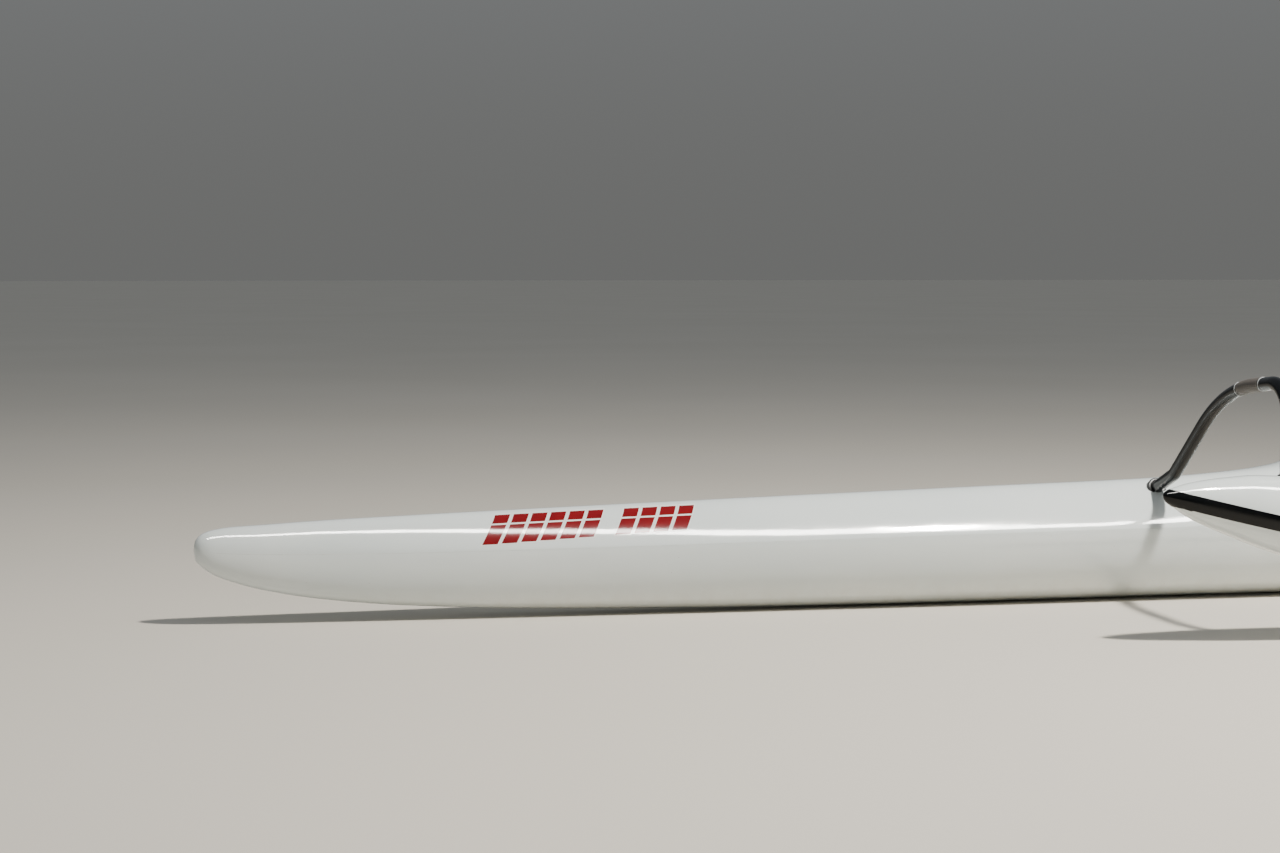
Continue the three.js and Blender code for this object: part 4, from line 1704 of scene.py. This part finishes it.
@dataclass
class Float:
    """The float: a smooth shell, the glossy tape over its seam and a screw vent on its top."""

    lines: FloatLines = FLOAT_LINES
    rings: int = 260
    tape: float = 0.9
    vent_at: float = 3100.0

    def build(self) -> None:
        """Builds the shell, the tape and the vent."""
        shell = self.lines.body("float_shell", self.rings)
        seams = self.lines.columns(np.arange(0.0, self.lines.length + 1.0))[:, 1]
        tape = shell.copy()
        tape.data = shell.data.copy()
        tape.name = tape.data.name = "float_tape"
        bpy.context.scene.collection.objects.link(tape)

        def off_band(middle: Vector, normal: Vector) -> bool:
            """Whether a face lies outside the band over the seam."""
            s = min(max((self.lines.nose_x - middle.x) / MM, 0.0), self.lines.length)
            return abs(middle.z / MM - seams[round(s)]) >= self.lines.strip

        with editing(tape):
            pick_faces(tape, off_band)
            bpy.ops.mesh.delete(type="FACE")
        modified(tape, "SOLIDIFY", thickness=self.tape * MM, offset=1.0)
        modified(tape, "BEVEL", width=0.3 * MM, segments=2, limit_method="ANGLE",
                 angle_limit=math.radians(60))
        dressed(shell, GELCOAT, Slot.GELCOAT, "float_upper", "float_lower", angle=50.0)
        dressed(tape, VINYL, Slot.SEAM_TAPE, "float_seam_tape", angle=50.0)
        before, top, after = map(float, self.lines.top(self.vent_at + np.array([-20.0, 0.0, 20.0]), 0.0))
        at = Vector((self.lines.nose_x - self.vent_at * MM, FLOAT_Y, (top - 2.0) * MM))
        axis = Vector(((after - before) / 40.0, 0, 1)).normalized()
        ScrewVent().build("float_screw_vent", "float_vent", axis, at)


# Studio


@dataclass(frozen=True)
class Studio:
    """The plain pale floor, soft lights and the camera at the photograph's angle."""

    focal_px: float = 2300.0
    frame_px: float = 1280.0
    sensor_mm: float = 36.0
    camera_at: tuple[float, float, float] = (BOW_X + 0.14885, HULL_Y + 6.356, 0.973)
    yaw: float = 12.387
    pitch: float = 3.9
    far: float = 500.0
    floor_size: float = 400.0
    low_sky: str = "A5A6A4"
    high_sky: str = "DCE3EA"
    sky_full: float = 0.45
    sky_strength: float = 0.40
    middle: tuple[float, float, float] = (0.9, HULL_Y, 0.25)
    key_from: tuple[float, float, float] = (-1.23, 3.05, 6.18)
    strip_at: tuple[float, float, float] = (0.9, 2.16, 4.7)
    strip_turn: float = -1.0

    def camera(self) -> None:
        """Adds the camera."""
        turn = (math.radians(90 - self.pitch), 0.0, math.radians(180 - self.yaw))
        camera = started("camera", bpy.ops.object.camera_add, location=self.camera_at, rotation=turn)
        camera.data.sensor_width = self.sensor_mm
        camera.data.lens = self.focal_px / self.frame_px * self.sensor_mm
        camera.data.clip_end = self.far
        bpy.context.scene.camera = camera

    def light(self, name: str, at: Vector, size: tuple[float, float], power: float, colour: str,
              roll: float = 0.0) -> Piece:
        """Adds a rectangular soft light, turned to the middle of the view.

        Args:
            name: its name.
            at: where it hangs.
            size: its length along X and its width.
            power: in watts.
            colour: as hex.
            roll: its turn about its own axis, in degrees.

        Returns:
            The light.
        """
        turn = (Vector(self.middle) - at).to_track_quat("-Z", "X").to_matrix().to_4x4()
        lamp = started(name, bpy.ops.object.light_add, type="AREA", location=at)
        lamp.matrix_world = Matrix.Translation(at) @ turn @ Matrix.Rotation(math.radians(roll), 4, "Z")
        lamp.data.shape = "RECTANGLE"
        lamp.data.size_y, lamp.data.size = size
        lamp.data.energy = power
        lamp.data.color = linear(colour)[:3]
        return lamp

    def sky(self) -> None:
        """Sets a soft even light, brightest overhead and down to the far floor's tone at the horizon."""
        world = bpy.data.worlds.new("soft_sky")
        world.use_nodes = True
        tree = world.node_tree
        add = partial(add_node, tree)
        height = add("SeparateXYZ", "Z", Vector=add("TexCoord", "Generated"))
        share = add("MapRange", interpolation_type="SMOOTHSTEP", From_Max=self.sky_full, Value=height)
        low, high = linear(self.low_sky), linear(self.high_sky)
        tone = add("Mix", 2, data_type="RGBA", in_0=share, in_6=low, in_7=high)
        inputs = tree.nodes["Background"].inputs
        tree.links.new(tone, inputs["Color"])
        inputs["Strength"].default_value = self.sky_strength
        bpy.context.scene.world = world

    def build(self) -> None:
        """Builds the floor, the sky's soft light, the lights and the camera."""
        floor = started("studio_floor", bpy.ops.mesh.primitive_plane_add, size=self.floor_size)
        settle(floor, Matrix.Translation((0, 0, -0.5 * MM)))
        floor.data.materials.append(FLOOR.material())
        self.sky()
        self.light("key", Vector(self.middle) + Vector(self.key_from), (0.4, 0.4), 1000.0, "FFFAF2")
        strip = self.light("strip", Vector(self.strip_at), (12.0, 0.6), 1600.0, "FFFCF6", self.strip_turn)
        strip.visible_diffuse = False
        self.camera()


# The canoe


@dataclass
class Canoe:
    """The whole canoe, built in order."""

    booms: tuple[BoomShape, ...] = (
        BoomShape("front_boom", 2794.0, 22.9, 40.7, 5.7, 82.0),
        BoomShape("rear_boom", 4843.0, 14.0, 24.0, 4.0, 80.0),
    )

    def build(self) -> None:
        """Builds every piece."""
        shell = HullShell()
        skin = shell.build()
        BowBars(skin).build()
        CockpitRim(shell).build()
        Bulkheads(shell).build()
        seat = Seat(shell)
        seat.pedestal()
        seat.pad()
        FootRest(shell).build()
        for shape in self.booms:
            Boom(shape).build()
        Float().build()


def main() -> None:
    """Builds the studio and the canoe."""
    logging.basicConfig(level=logging.INFO, format="%(name)s: %(message)s")
    Studio().build()
    Canoe().build()


if __name__ == "__main__":
    main()
